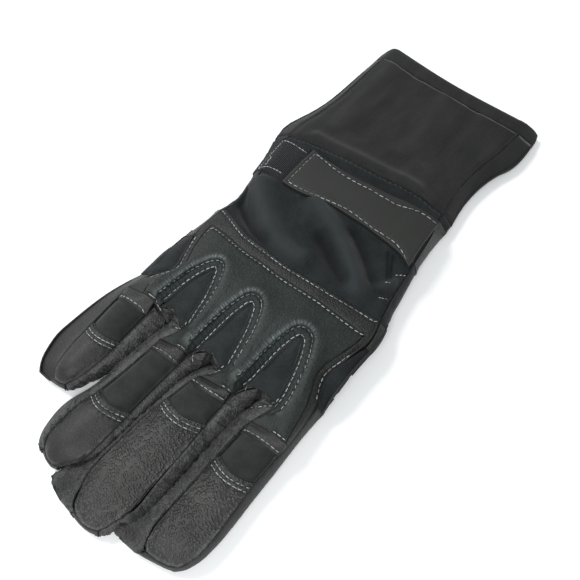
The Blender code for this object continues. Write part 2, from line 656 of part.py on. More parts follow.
def material(cloth):
    """A plain material in the colour of one leather or cloth."""
    made = bpy.data.materials.get(cloth)
    if made is None:
        colour, roughness = COLOURS[cloth]
        made = bpy.data.materials.new(cloth)
        made.use_nodes = True
        shader = made.node_tree.nodes["Principled BSDF"]
        shader.inputs["Base Color"].default_value = (*colour, 1.0)
        shader.inputs["Roughness"].default_value = roughness
    return made


def add_object(name, mesh, cloth, collection):
    """Store a solid. Walls that face each other over a seam are split along like diagonals."""
    bmesh.ops.triangulate(mesh, faces=mesh.faces[:], quad_method="SHORT_EDGE")
    data = bpy.data.meshes.new(name)
    mesh.to_mesh(data)
    mesh.free()
    data.materials.append(material(cloth))
    made = bpy.data.objects.new(name, data)
    collection.objects.link(made)
    return made


def stand_on_origin(collection):
    """Put the middle of the glove's underside at the origin."""
    corners = [vert.co for item in collection.objects for vert in item.data.vertices]
    low = Vector([min(corner[axis] for corner in corners) for axis in range(3)])
    high = Vector([max(corner[axis] for corner in corners) for axis in range(3)])
    middle = Vector(((low.x + high.x) / 2, (low.y + high.y) / 2, low.z))
    for item in collection.objects:
        item.data.transform(Matrix.Translation(-middle))
    print("middle of the underside was at", [round(value, 5) for value in middle])


def build():
    for old in list(bpy.data.objects):
        bpy.data.objects.remove(old)
    collection = bpy.data.collections.new("tactical_glove")
    bpy.context.scene.collection.children.link(collection)
    skin, names = glove_skin()
    shape_cage(skin, place, rise_of)
    for number, name in enumerate(names):
        cloth = cloth_of(name)
        add_object(name, panel_solid(skin, number, WALLS[cloth]), cloth, collection)
    pouch = thumb_cage()
    shape_cage(pouch, thumb_place, lambda along, across, level: 0.0)
    add_object("thumb", panel_solid(pouch, 0, LEATHER), "leather", collection)
    pouch.free()
    skin.free()
    add_object("strap_tab", strap_tab(collection), "strap", collection)
    stand_on_origin(collection)


if __name__ == "__main__":
    build()
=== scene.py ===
# %% [markdown]
# # A tactical glove, dressed panel by panel
# The glove lies back up on a white table. It is sewn from 33 panels: leather on the
# fingertips, knuckles, sides and palm, brushed stretch cloth between them, a foam-filled pad over
# the back of the hand, a cloth wrist with a strap, and a long knit cuff.
# The frame holds each panel as a plain solid. Every one is copied, softened by subdivision,
# pressed into its seams, and given its leather or cloth. The thread comes last, because each
# stitch is laid on the finished surface.

# %% Load the frame
import json
import math

import bmesh
import bpy
import numpy as np
from mathutils import Matrix, Vector, kdtree, noise
from mathutils.bvhtree import BVHTree
from mathutils.geometry import convex_hull_2d

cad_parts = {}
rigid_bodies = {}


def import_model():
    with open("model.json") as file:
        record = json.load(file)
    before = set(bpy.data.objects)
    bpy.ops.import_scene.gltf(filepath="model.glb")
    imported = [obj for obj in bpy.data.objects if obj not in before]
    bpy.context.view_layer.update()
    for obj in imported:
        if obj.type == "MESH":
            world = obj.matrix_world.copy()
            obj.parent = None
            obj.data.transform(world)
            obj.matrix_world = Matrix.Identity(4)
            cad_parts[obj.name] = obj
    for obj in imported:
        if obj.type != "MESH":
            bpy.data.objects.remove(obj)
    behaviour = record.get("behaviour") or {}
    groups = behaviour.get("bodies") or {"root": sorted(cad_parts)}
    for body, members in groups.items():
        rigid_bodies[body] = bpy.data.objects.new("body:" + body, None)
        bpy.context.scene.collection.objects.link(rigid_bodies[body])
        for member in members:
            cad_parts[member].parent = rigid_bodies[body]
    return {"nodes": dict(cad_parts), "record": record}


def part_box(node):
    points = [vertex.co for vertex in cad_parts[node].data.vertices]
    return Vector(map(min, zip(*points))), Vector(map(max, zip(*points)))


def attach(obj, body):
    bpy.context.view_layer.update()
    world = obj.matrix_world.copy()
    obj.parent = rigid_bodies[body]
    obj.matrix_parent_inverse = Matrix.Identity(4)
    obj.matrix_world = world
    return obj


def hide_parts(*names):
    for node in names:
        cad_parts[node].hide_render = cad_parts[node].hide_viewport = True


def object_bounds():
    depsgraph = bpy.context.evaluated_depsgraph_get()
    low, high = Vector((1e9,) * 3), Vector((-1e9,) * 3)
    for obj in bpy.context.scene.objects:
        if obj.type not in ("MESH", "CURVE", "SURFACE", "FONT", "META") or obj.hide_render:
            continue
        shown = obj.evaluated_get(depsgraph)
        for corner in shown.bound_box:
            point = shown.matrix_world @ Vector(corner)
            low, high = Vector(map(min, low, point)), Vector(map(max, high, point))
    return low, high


def new_object(name, data):
    piece = bpy.data.objects.new(name, data)
    bpy.context.scene.collection.objects.link(piece)
    return piece


def finished_mesh(work, name):
    """Turn a bmesh into a mesh, and free it."""
    mesh = bpy.data.meshes.new(name)
    work.to_mesh(mesh)
    work.free()
    return mesh


def smooth_faces(mesh):
    for face in mesh.polygons:
        face.use_smooth = True


def joined_tree(meshes):
    whole = bmesh.new()
    for mesh in meshes:
        whole.from_mesh(mesh)
    tree = BVHTree.FromBMesh(whole)
    whole.free()
    return tree


def as_rows(vectors):
    return np.array([tuple(vector) for vector in vectors])


def by_start(table, node, otherwise):
    """The entry of a table whose key a node's name starts with."""
    return next((entry for start, entry in table.items() if node.startswith(start)), otherwise)


for left_over in list(bpy.data.objects):
    bpy.data.objects.remove(left_over)
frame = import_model()
cad_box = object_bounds()
MM = 0.001
print("glove", [round((high - low) / MM) for low, high in zip(*cad_box)], "mm,",
      len(frame["nodes"]), "panels")

# %% [markdown]
# ## Camera
# The picture looks down on the glove from beyond the fingertips, a little from the index
# finger's side. The place and the two angles were found by laying the solids over the picture.

# %% Camera
CAMERA_PLACE = Vector((0.10154, -0.15237, 0.2637))
CAMERA_AZIMUTH, CAMERA_ELEVATION = math.radians(35.3), math.radians(58.2)
camera_data = bpy.data.cameras.new("camera")
camera_data.sensor_width = 36.0
camera_data.lens = 39.5
camera_data.clip_start = 0.01
camera = new_object("camera", camera_data)
look = Vector((-math.sin(CAMERA_AZIMUTH) * math.cos(CAMERA_ELEVATION),
               math.cos(CAMERA_AZIMUTH) * math.cos(CAMERA_ELEVATION), -math.sin(CAMERA_ELEVATION)))
camera.location = CAMERA_PLACE
camera.rotation_euler = look.to_track_quat("-Z", "Y").to_euler()
bpy.context.scene.camera = camera
bpy.context.scene.view_settings.view_transform = "Standard"

# %% [markdown]
# ## Inside and outside
# Several steps need to know which face of a panel is the outer one. The glove is a set of
# tubes, so each point is compared with the line or plane in the middle of its tube: an outer
# face looks away from it. The middle of a finger runs from its knuckle to just before its tip.

# %% The middle of each tube
FINGERS = ("little", "ring", "middle", "index")
GAPS = ("little_ring", "ring_middle", "middle_index")
HALF_HEIGHTS = ((-157, 4.0), (-140, 6.0), (-100, 6.8), (-70, 8.0), (-10, 9.3), (40, 8.8),
                (60, 7.0), (157, 5.5))


def ease(value, low, high):
    """A smooth step from 0 at low to 1 at high; high may be the smaller number."""
    share = np.clip((value - low) / (high - low), 0.0, 1.0)
    return share * share * (3 - 2 * share)


def box_middle(node):
    low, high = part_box(node)
    return (Vector(low) + Vector(high)) / 2


TIP_ROUND = 7 * MM
finger_lines = []
for finger in FINGERS:
    root, tip = box_middle("knuckle_" + finger), box_middle("fingertip_" + finger)
    slope = (tip.x - root.x) / (tip.y - root.y)
    finger_lines.append((root.x, root.y, slope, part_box("fingertip_" + finger)[0][1] + TIP_ROUND))
finger_lines = np.array(finger_lines)
CROTCH_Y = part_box("knuckle_little")[1][1]


def outward(places, normals):
    """How far each normal looks away from the middle of its tube, from -1 to 1."""
    y = places[:, 1]
    height = np.interp(y / MM, *zip(*HALF_HEIGHTS)) * MM
    lines = finger_lines[None, :, 0] + (y[:, None] - finger_lines[None, :, 1]) * finger_lines[None, :, 2]
    nearest = np.argmin(np.abs(places[:, :1] - lines), axis=1)
    in_finger = lines[np.arange(len(y)), nearest]
    in_hand = np.clip(places[:, 0], -44 * MM, 42 * MM)
    middle = np.where(y < CROTCH_Y, in_finger, in_hand)
    beyond = np.minimum(y - finger_lines[nearest, 3], 0.0)
    away = np.stack([places[:, 0] - middle, beyond, places[:, 2] - height], axis=1)
    away /= np.linalg.norm(away, axis=1)[:, None] + 1e-9
    return np.sum(away * normals, axis=1)


print("the fingers lean", [round(math.degrees(math.atan(line[2]))) for line in finger_lines], "degrees")

# %% [markdown]
# ## Slack leather
# The solids stand up straight, but an empty glove lies slack. The side walls of two neighbouring
# fingers lean on each other until only a slit is left between them. Beside the tips of the ring
# and middle fingers the loose leather is squeezed out over the table. The first seam of three
# fingertips is drawn into an arc, the cuff's mouth sags, and the corners of the fingertips and
# of the mouth are rounded. All of this is one field that moves any place on the glove, so panels
# that are sewn together move together and stay closed.

# %% The slack field
KEEP_CLEAR = 0.15 * MM
MOST_LEAN = 5.6 * MM
LEAN_REACH = 7 * MM
# middle, radius and move, in millimetres
SQUEEZED = (((-8, -142.5, 3), 8, (-11.5, -3.5, -0.3)), ((-4.5, -149.5, 3), 5.5, (-6, -2.5, -0.3)),
            ((28, -142.5, 3), 7.5, (-12, -6, -0.3)))
RING_END, INDEX_END = (-22, -145, 5), (34, -148, 5)
OUTWARD = (((-48, -6, 7), 16, (-2, 0, 0)), ((-55, 66, 6), 12, (-2.2, 0, 0)),
           ((55, 4, 7), 14, (1.6, 0, 0)), ((57, -22, 9), 9, (1.4, 0, 0)),
           (RING_END, 6, (0.6, -1.7, 0)), (INDEX_END, 6.5, (-0.9, -1.9, 0)))
TIP_ARCS = {"little": 1.3, "ring": 1.8, "middle": 0.0, "index": 2.2}
MOUTH_SAG = 6.5 * MM
ROUND_WINDOW = 4.0           # millimetres on each side of a corner
ROUND_REACH = 4.5
ROUND_STEP = 0.4


def finger_middle(number, y):
    x, start, slope, _ = finger_lines[number]
    return x + (y - start) * slope


def gap_walls(number):
    """The middle and the half width of a gap between fingers, every millimetre along it."""
    node = "fourchette_" + GAPS[number]
    tree = joined_tree([frame["nodes"][node].data])
    low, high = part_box(node)
    found = []
    for y in np.arange(low[1], high[1], MM):
        start = Vector(((finger_middle(number, y) + finger_middle(number + 1, y)) / 2, y, 6 * MM))
        (left, left_normal), (right, right_normal) = (
            tree.ray_cast(start, Vector((way, 0, 0)), 20 * MM)[:2] for way in (-1, 1))
        if left and right and left_normal.x > 0.3 and right_normal.x < -0.3:
            found.append((y, (left.x + right.x) / 2, (right.x - left.x) / 2))
    return np.array(found).T


gaps = [gap_walls(number) for number in range(len(GAPS))]
for name, (along, _, half) in zip(GAPS, gaps):
    print("gap", name, "is", round(half.min() * 2 / MM), "to", round(half.max() * 2 / MM), "mm wide")


def rounding(nodes, start_y, full_y):
    """Samples of an outline in plan, and the moves that round off its corners."""
    plan = [Vector(vert.co[:2]) / MM for node in nodes for vert in frame["nodes"][node].data.vertices]
    outline = [plan[number] for number in convex_hull_2d(plan)]
    corners = as_rows(outline + outline[:1])
    lengths = np.concatenate([[0.0], np.cumsum(np.linalg.norm(np.diff(corners, axis=0), axis=1))])
    places = np.arange(0.0, lengths[-1], ROUND_STEP)
    samples = np.stack([np.interp(places, lengths, corners[:, axis]) for axis in range(2)], axis=1)
    smooth = samples.copy()
    window = int(ROUND_WINDOW / ROUND_STEP)
    for _ in range(2):
        smooth = sum(np.roll(smooth, step, axis=0) for step in range(-window, window + 1)) / (2 * window + 1)
    return samples, (smooth - samples) * ease(samples[:, 1], start_y, full_y)[:, None]


roundings = []
for finger in FINGERS:
    tip_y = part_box("fingertip_" + finger)[0][1] / MM
    roundings.append(rounding(["fingertip_" + finger], tip_y + 13, tip_y + 8))
roundings.append(rounding(["cuff_back", "cuff_front", "cuff_hem"], 120, 130))
print("corners move by", [round(float(np.abs(moves).max()), 1) for _, moves in roundings], "mm")


def slack(places):
    """Where places on the solids lie in the slack glove."""
    moved = places.copy()
    x, y, z = places.T
    low = 1 - ease(z / MM, 7.5, 11.5)
    for along, middle, half in gaps:
        centre, width = np.interp(y, along, middle), np.interp(y, along, half)
        apart = np.abs(x - centre)
        lean = np.clip(width - KEEP_CLEAR, 0.0, MOST_LEAN) * low
        lean *= ease((y - along[0]) / MM, -2.0, 9.0) * (1 - ease((y - along[-1]) / MM, 3.0, 8.0))
        beyond = 1 - ease((apart - width) / LEAN_REACH, 0.0, 1.0)
        share = np.where(apart < width, apart / np.maximum(width, 1e-6), beyond)
        moved[:, 0] -= np.sign(x - centre) * lean * share
    for middle, radius, push in SQUEEZED:
        apart = np.linalg.norm(places / MM - middle, axis=1) / radius
        share = np.exp(-apart ** 2.6) * (1 - ease(z / MM, 4.0, 9.0))
        moved += share[:, None] * np.array(push) * MM
    for middle, radius, push in OUTWARD:
        apart = np.linalg.norm(places / MM - middle, axis=1) / radius
        moved += np.exp(-apart ** 2)[:, None] * np.array(push) * MM
    for number, finger in enumerate(FINGERS):
        seam_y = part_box("fingertip_" + finger)[1][1] - 1 * MM
        across = (x - finger_middle(number, y)) / (9 * MM)
        share = np.clip(1 - across ** 2, 0.0, 1.0) * np.exp(-((y - seam_y) / (6 * MM)) ** 2)
        moved[:, 1] -= TIP_ARCS[finger] * MM * share * ease(z / MM, 8.0, 11.0)
    sag = np.clip(1 - ((x / MM - 16) / 52) ** 2, 0.0, 1.0) * ease(y / MM, 100.0, 157.0)
    moved[:, 1] -= MOUTH_SAG * sag
    for samples, moves in roundings:
        apart = np.hypot(x[:, None] / MM - samples[None, :, 0], y[:, None] / MM - samples[None, :, 1])
        nearest = np.argmin(apart, axis=1)
        share = np.exp(-(apart[np.arange(len(x)), nearest] / ROUND_REACH) ** 2)
        moved[:, :2] += moves[nearest] * share[:, None] * MM
    return moved


# %% [markdown]
# ## A panel's mesh
# A frame node is a list of loose triangles. Merging its doubles and joining the triangles in
# pairs gives back the quads, and a subdivision surface needs quads to bend evenly. Where the
# panel's face turns over into its cut edge, a part crease keeps the edge narrow but round, the
# way a folded and sewn leather edge looks. Corners are creased in full, or they would draw
# back and leave a hole where three panels meet. Each cage is subdivided once before it goes
# slack, so that it has enough vertices to follow the lumps and the rounded corners.

# %% Copy a panel
MERGE = 0.01 * MM
TURN = math.radians(62)      # a bend sharper than this is the panel's cut edge
JOIN_FACE, JOIN_SHAPE = math.radians(50), math.radians(70)
CORNER = math.cos(math.radians(38))


def cut_edges(cage):
    """The edges where a panel's face turns over into its cut edge."""
    return [edge for edge in cage.edges if edge.calc_face_angle(0.0) > TURN]


def joined_verts(edges):
    """For each vertex of some edges, the vertices at their other ends."""
    joined = {}
    for edge in edges:
        for vert, other in (edge.verts, reversed(edge.verts)):
            joined.setdefault(vert, []).append(other)
    return joined


def soft_mesh(cage, name, levels, crease):
    """Subdivide a cage with its cut edges creased. The cage is freed."""
    edge_weight = cage.edges.layers.float.new("crease_edge")
    corner_weight = cage.verts.layers.float.new("crease_vert")
    cut = cut_edges(cage)
    for edge in cut:
        edge[edge_weight] = crease
    for vert, others in joined_verts(cut).items():
        ways = [(other.co - vert.co).normalized() for other in others]
        if len(ways) > 2 or (len(ways) == 2 and ways[0].dot(ways[1]) > -CORNER):
            vert[corner_weight] = 1.0
    mesh = finished_mesh(cage, name)
    piece = new_object(name, mesh)
    surface = piece.modifiers.new("Soft", "SUBSURF")
    surface.levels = surface.render_levels = levels
    graph = bpy.context.evaluated_depsgraph_get()
    baked = bpy.data.meshes.new_from_object(piece.evaluated_get(graph))
    bpy.data.objects.remove(piece)
    bpy.data.meshes.remove(mesh)
    baked.materials.clear()
    for attribute in list(baked.attributes.keys()):
        if attribute.startswith("crease"):
            baked.attributes.remove(baked.attributes[attribute])
    return baked


def panel_cage(node):
    """A copy of a panel's solid: merged, in quads, subdivided once and gone slack."""
    cage = bmesh.new()
    cage.from_mesh(frame["nodes"][node].data)
    bmesh.ops.remove_doubles(cage, verts=cage.verts[:], dist=MERGE)
    bmesh.ops.join_triangles(cage, faces=cage.faces[:], angle_face_threshold=JOIN_FACE,
                             angle_shape_threshold=JOIN_SHAPE)
    once = soft_mesh(cage, node + "_once", 1, 1.0)
    cage = bmesh.new()
    cage.from_mesh(once)
    bpy.data.meshes.remove(once)
    for vert, place in zip(cage.verts, slack(as_rows(vert.co for vert in cage.verts))):
        vert.co = place
    cage.normal_update()
    return cage


# %% [markdown]
# ## Seams
# Two panels are sewn along the edge that they share. The seam is found, not typed in: it is
# the run of outer cut edges of one panel that lies against the other. Rows of stitches then
# run beside it, a millimetre or two inside the upper panel.

# %% Find a seam
SEWN = 0.8 * MM             # panels nearer than this are sewn together
RUN_STEP = 0.5 * MM
cages = {node: panel_cage(node) for node in frame["nodes"]}
trees = {node: BVHTree.FromBMesh(cage) for node, cage in cages.items()}


def looks_of(faces):
    return outward(as_rows(face.calc_center_median() for face in faces),
                   as_rows(face.normal for face in faces))


def outer_edges(node):
    """The cut edges round the outer face of a panel."""
    edges = cut_edges(cages[node])
    looks = [looks_of([edge.link_faces[side] for edge in edges]) for side in (0, 1)]
    highest, lowest = np.maximum(*looks), np.minimum(*looks)
    return [edge for edge, high, low in zip(edges, highest, lowest) if high > 0.5 and low > -0.55]


rims = {node: outer_edges(node) for node in frame["nodes"]}


def all_runs(edges):
    """Chain edges into runs of vertices, the longest first."""
    joined = joined_verts(edges)
    runs = []
    unused = set(joined)
    while unused:
        ends = [vert for vert in unused if len(joined[vert]) == 1] or list(unused)
        run = [min(ends, key=lambda vert: (round(vert.co.x, 5), round(vert.co.y, 5)))]
        unused.discard(run[0])
        while True:
            onward = [vert for vert in joined[run[-1]] if vert in unused]
            if not onward:
                break
            run.append(onward[0])
            unused.discard(onward[0])
        runs.append(run)
    return sorted(runs, key=len, reverse=True)


def beside(edge, other):
    """Whether an edge lies against another panel."""
    middle = (edge.verts[0].co + edge.verts[1].co) / 2
    return trees[other].find_nearest(middle, SEWN)[0] is not None


def seam(node, other):
    """The points of a panel's outer edge where it is sewn to another panel, in order."""
    return [vert.co.copy() for vert in all_runs(edge for edge in rims[node] if beside(edge, other))[0]]


def evenly(points, step):
    """Points along a run, a step apart."""
    points = as_rows(points)
    lengths = np.linalg.norm(np.diff(points, axis=0), axis=1)
    along = np.concatenate([[0.0], np.cumsum(lengths)])
    places = np.linspace(0.0, along[-1], max(2, int(round(along[-1] / step)) + 1))
    return np.stack([np.interp(places, along, points[:, axis]) for axis in range(3)], axis=1)


def smooth_run(points, passes):
    """Round off a run's corners, with its ends kept in place."""
    points = points.copy()
    for _ in range(passes):
        points[1:-1] = points[1:-1] / 2 + (points[:-2] + points[2:]) / 4
    return points


def over(place, tree):
    """The highest point of a surface over a place in plan, or None."""
    return tree.ray_cast(Vector((place[0], place[1], 60 * MM)), Vector((0, 0, -1)))[0]


def beside_run(points, distance, tree):
    """A run moved sideways in plan, onto the panel that the tree holds."""
    tangent = smooth_run(np.gradient(points, axis=0), 3)
    side = np.stack([-tangent[:, 1], tangent[:, 0], np.zeros(len(points))], axis=1)
    side /= np.linalg.norm(side, axis=1)[:, None] + 1e-12
    votes = 0
    for share in np.linspace(0.15, 0.85, 9):
        number = int(share * (len(points) - 1))
        for sign in (1, -1):
            if over(points[number] + sign * side[number] * 2 * MM, tree) is not None:
                votes += sign
    return points + side * distance * (1 if votes >= 0 else -1)


print("outer edges on", sum(1 for edges in rims.values() if edges), "panels")

# %% [markdown]
# ## The rows of stitches
# Each row is given by the panel that it is sewn through, the panel on the other side of the
# seam, and how far inside the edge it runs. Double rows hold the leather of each fingertip.
# The rows round the strap and a few short ones aren't beside a seam of two panels. They are
# given as places in plan, in millimetres, and dropped on the surface below them.

# %% List the rows
slack_meshes = [finished_mesh(cage.copy(), "slackened") for cage in cages.values()]
whole_tree = joined_tree(slack_meshes)
for mesh in slack_meshes:
    bpy.data.meshes.remove(mesh)
STEP_DOWN = 2.5 * MM        # a row ends where the surface drops away faster than this
EVERYWHERE = ((-99, -199), (99, 199))
SEAM_PASSES = 6
rows = []


def add_row(points, thread, pitch, trench, lip=False):
    rows.append({"points": points, "thread": thread, "pitch": pitch * MM, "trench": trench, "lip": lip})


def dropped(points, tree=None):
    """A run of points in plan, put on the surface; points over a gap are left out."""
    kept = []
    for point in points:
        hit = over(point, tree or whole_tree)
        if hit is not None and (not kept or abs(hit.z - kept[-1][2]) < STEP_DOWN):
            kept.append(tuple(hit))
    return np.array(kept)


def sew(node, other, insets, thread="pale", pitch=2.6, trench=1.0, trim=0.0, lip=False,
        within=EVERYWHERE):
    """Rows of stitches through a panel, beside its seam with another."""
    run = smooth_run(evenly(seam(node, other), RUN_STEP), SEAM_PASSES)
    low, high = np.array(within) * MM
    cut = int(trim * MM / RUN_STEP)
    for inset in insets:
        path = smooth_run(evenly(beside_run(run, inset * MM, trees[node]), RUN_STEP), SEAM_PASSES)
        path = path[cut:len(path) - cut]
        inside = np.all((path[:, :2] > low) & (path[:, :2] < high), axis=1)
        add_row(dropped(path[inside], trees[node]), thread, pitch, trench, lip)


def lay_row(plan, thread="pale", pitch=2.6, trench=1.0, passes=5):
    """A row through places in plan, in millimetres."""
    run = evenly([(x * MM, y * MM, 0.0) for x, y in plan], RUN_STEP)
    add_row(dropped(smooth_run(run, passes)), thread, pitch, trench)


# %% Rows of the leather
sew("back_leather", "wrist_back", [1.4])
sew("back_pad", "back_leather", [0.9], "dim", within=((-60, -26), (-5, 0)))
for within in (((-5, -34), (60, 0)), ((20, -85), (60, -34))):
    sew("back_pad", "back_leather", [0.9], within=within)
for gap in GAPS:
    sew("back_pad", "insert_" + gap, [0.9], trench=0.8)
    sew("back_pad", "insert_" + gap, [4.2], "dim", trench=1.2, lip=True)
for finger in FINGERS:
    sew("knuckle_" + finger, "stretch_" + finger, [1.2], trench=0.9, trim=0.5)
    sew("fingertip_" + finger, "stretch_" + finger, [1.9, 3.7], pitch=2.4, trench=0.9, trim=0.5)
LOBE_ENDS = (((-38.9, -65.8), (-35.1, -65.9)), ((-11.9, -77.7), (-6.9, -77.8)),
             ((15.9, -81.4), (21.3, -81.6)), ((45, -85.2), (52.6, -85.3)))
for plan in LOBE_ENDS:
    lay_row(plan, trench=1.2)
INSERT_ENDS = (((-34.8, -65.6), (-33.6, -67.1), (-30.5, -67.6), (-27.7, -68.4), (-25.2, -69.9)),
               ((-20.2, -70.6), (-18.2, -70), (-16.1, -68.5), (-16.1, -64.1)),
               ((-2.9, -78.8), (-4.5, -76.2)), ((6.7, -80.1), (9.1, -78), (10.7, -72.9)),
               ((25, -76.8), (23.9, -74.4)),
               ((29.6, -80.6), (33.6, -78.8), (38, -75), (39.5, -69.8)))
for plan in INSERT_ENDS:
    lay_row(plan, pitch=2.2, trench=0.6, passes=3)
for side in ("little", "index"):
    sew("back_leather", "side_stretch_" + side, [1.0])

# %% Rows of the strap, its loop patch and the wrist
STRAP_TOP = ((-23.6, 47.4), (-16.1, 45.4), (-11.1, 43.8), (-4.4, 42.4), (3.9, 41.6), (11.5, 41.9),
             (19.8, 41.7), (27.3, 41.5), (30.6, 42.3), (34.8, 44), (39, 45.7), (43.1, 46.1),
             (49.4, 45.3))
STRAP_LOW = ((-23.6, 22.6), (-18.6, 22.1), (-11.1, 22.3), (-4.4, 22.7), (2.3, 23.3), (9, 24),
             (15.6, 23.7), (21.5, 22.7), (28.1, 21.9), (34.8, 22.1), (39.8, 21.5), (44, 20.2),
             (48.2, 17.2))
UNSEWN = 9.9                 # the pitch of a row without thread
LAID_ROWS = (                # places, thread, pitch and trench
    (STRAP_TOP, "pale", 3.2, 0.8),
    (STRAP_LOW, "pale", 3.2, 0.8),
    ((STRAP_TOP[0], STRAP_LOW[0]), "dim", 3, 0.8),
    # the loop patch: its outer side, its top and bottom, and a frayed thread on it
    (((-47, 51.5), (-47.2, 43.4), (-47.1, 34.9), (-46.8, 28.2)), "pale", 2, 0.6),
    (((-46.8, 51.5), (-40, 50.4), (-34.9, 49), (-29, 47.8)), "pale", 2.4, 0.6),
    (((-46.8, 27.9), (-41.3, 28.5), (-35.7, 28.2), (-31, 27.3)), "pale", 2.4, 0.6),
    (((-45.2, 37), (-43, 35), (-44.6, 33.2), (-42.4, 31.4), (-43.6, 29.8)), "pale", 1.3, 0),
    # short rows at the index finger's side of the wrist, and the two sides of a dart
    (((46.3, 1.1), (48.8, 2.5)), "pale", 1.4, 0.5),
    (((47.7, 8.6), (49.8, 10.8), (51.9, 12.5)), "pale", 1.7, 0.7),
    (((47.5, -6.4), (49.6, -5.2), (53, -3.2)), "pale", 1.8, 1),
    (((38.9, 16.6), (41.8, 11.6), (45.2, 5.7), (47.3, 1.5)), None, UNSEWN, 1.5),
    (((41.8, 16.6), (43.9, 11.6), (46.4, 6.5), (48.4, 2.3)), None, UNSEWN, 1.5),
)
for row in LAID_ROWS:
    lay_row(*row)
sew("wrist_back", "cuff_back", [1.3], "dark", 3.0, 1.3)
rows = [row for row in rows if len(row["points"]) > 3]
print(len(rows), "rows,", round(sum(len(row["points"]) for row in rows) * RUN_STEP / MM), "mm of thread")

# %% [markdown]
# ## Pressing the relief into the panels
# Thread pulls leather down into a trench, and the leather rises again between two stitches.
# Foam puffs up outside the trench, in fine ripples across it. Cloth beside a leather edge lies
# lower than the leather. All of this follows from two distances, to the nearest stitch row and
# to the panel's own edge, so the vertices of the finished mesh are moved along their normals.

# %% Look-up trees
TRENCH_WIDTH = 0.8
TRENCH_DEPTH = 0.45
LIP_RISE, LIP_REACH = 0.8, 9.0
RIPPLE = 1.25                # from one gather of the padding to the next


def tree_of_points(points):
    tree = kdtree.KDTree(len(points))
    for number, point in enumerate(points):
        tree.insert(point, number)
    tree.balance()
    return tree


def look_up(chosen):
    """A tree of rows' points, and each point's trench, way along its row, and pitch."""
    facts = [(row["trench"], number * RUN_STEP, row["pitch"])
             for row in chosen for number in range(len(row["points"]))]
    return tree_of_points([tuple(place) for row in chosen for place in row["points"]]), facts


row_tree, row_facts = look_up(rows)
lip_tree, lip_facts = look_up([row for row in rows if row["lip"]])
insert_tree = tree_of_points([tuple(point) for gap in GAPS
                              for point in evenly(seam("back_pad", "insert_" + gap), RUN_STEP)])
FLAT_SEAMS = {"cuff_back": "cuff_hem", "cuff_hem": "cuff_back"}


def edge_points(node):
    """Points along the outer cut edge of a panel, without the flat seam of the cuff's hem."""
    found = []
    for edge in rims[node]:
        if node in FLAT_SEAMS and beside(edge, FLAT_SEAMS[node]):
            continue
        start, end = (vert.co for vert in edge.verts)
        steps = max(2, int((end - start).length / RUN_STEP))
        found += [start.lerp(end, step / steps) for step in range(steps + 1)]
    return found


# %% [markdown]
# ## Each kind of panel has its own relief
# The table gives how far the middle of a panel puffs up, how far its edge is pressed down, how
# wide the edge's slope is, and how deep its loose wrinkles are, all in millimetres. Every
# panel also gets the same slow unevenness from one noise over the whole glove, so that two
# panels stay together at their seam.

# %% Relief table
RELIEF = {
    "fingertip": (0.25, -0.2, 1.5, 0.05),
    "stretch": (0.2, -0.9, 2.4, 0.05),
    "knuckle": (0.2, -0.1, 1.5, 0.04),
    "back_leather": (0.1, -0.1, 1.2, 0.05),
    "back_pad": (0.2, -0.25, 1, 0.03),
    "insert": (0.35, -0.8, 2, 0.06),
    "side_stretch": (0.3, -0.7, 2, 0.1),
    "side_tab": (0.3, -0.2, 1.5, 0.05),
    "fourchette": (0.6, -0.45, 1.7, 0.75),
    "wrist": (0, -0.5, 1.8, 0.25),
    "cuff_hem": (0.1, -0.2, 1.2, 0.1),
    "cuff": (0.1, -0.3, 1.6, 0.1),
    "strap_tab": (0.1, -0.1, 1, 0.02),
    "loop": (0, -0.1, 1, 0.03),
}
PLAIN = (0, -0.2, 1.4, 0.08)
UNEVEN = 0.28


def patches(point, size):
    """Slow noise over the whole glove, with patches of a size in millimetres."""
    return noise.noise(Vector(point / (size * MM)))


def wrinkles(node, point):
    """Loose wrinkles: creased ridges, drawn out along the way that the panel is stretched."""
    x, y, z = point / MM
    if node.startswith("fourchette"):
        place = Vector(((y * 0.75 + z * 0.8 + x * 0.35) / 1.9, x / 7.0, (z - y * 0.5) / 8.0))
    elif node.startswith("wrist"):
        place = Vector(((x * 0.75 + y * 0.65) / 4.5, (y - x) / 22.0, z / 9.0))
    elif node.startswith("cuff"):
        place = Vector((x / 6.5, y / 34.0, z / 9.0))
    else:
        place = Vector((x / 3.2, y / 3.8, z / 3.2))
    ridge = 1 - abs(noise.noise(place)) * 2
    return max(ridge, -1.0)
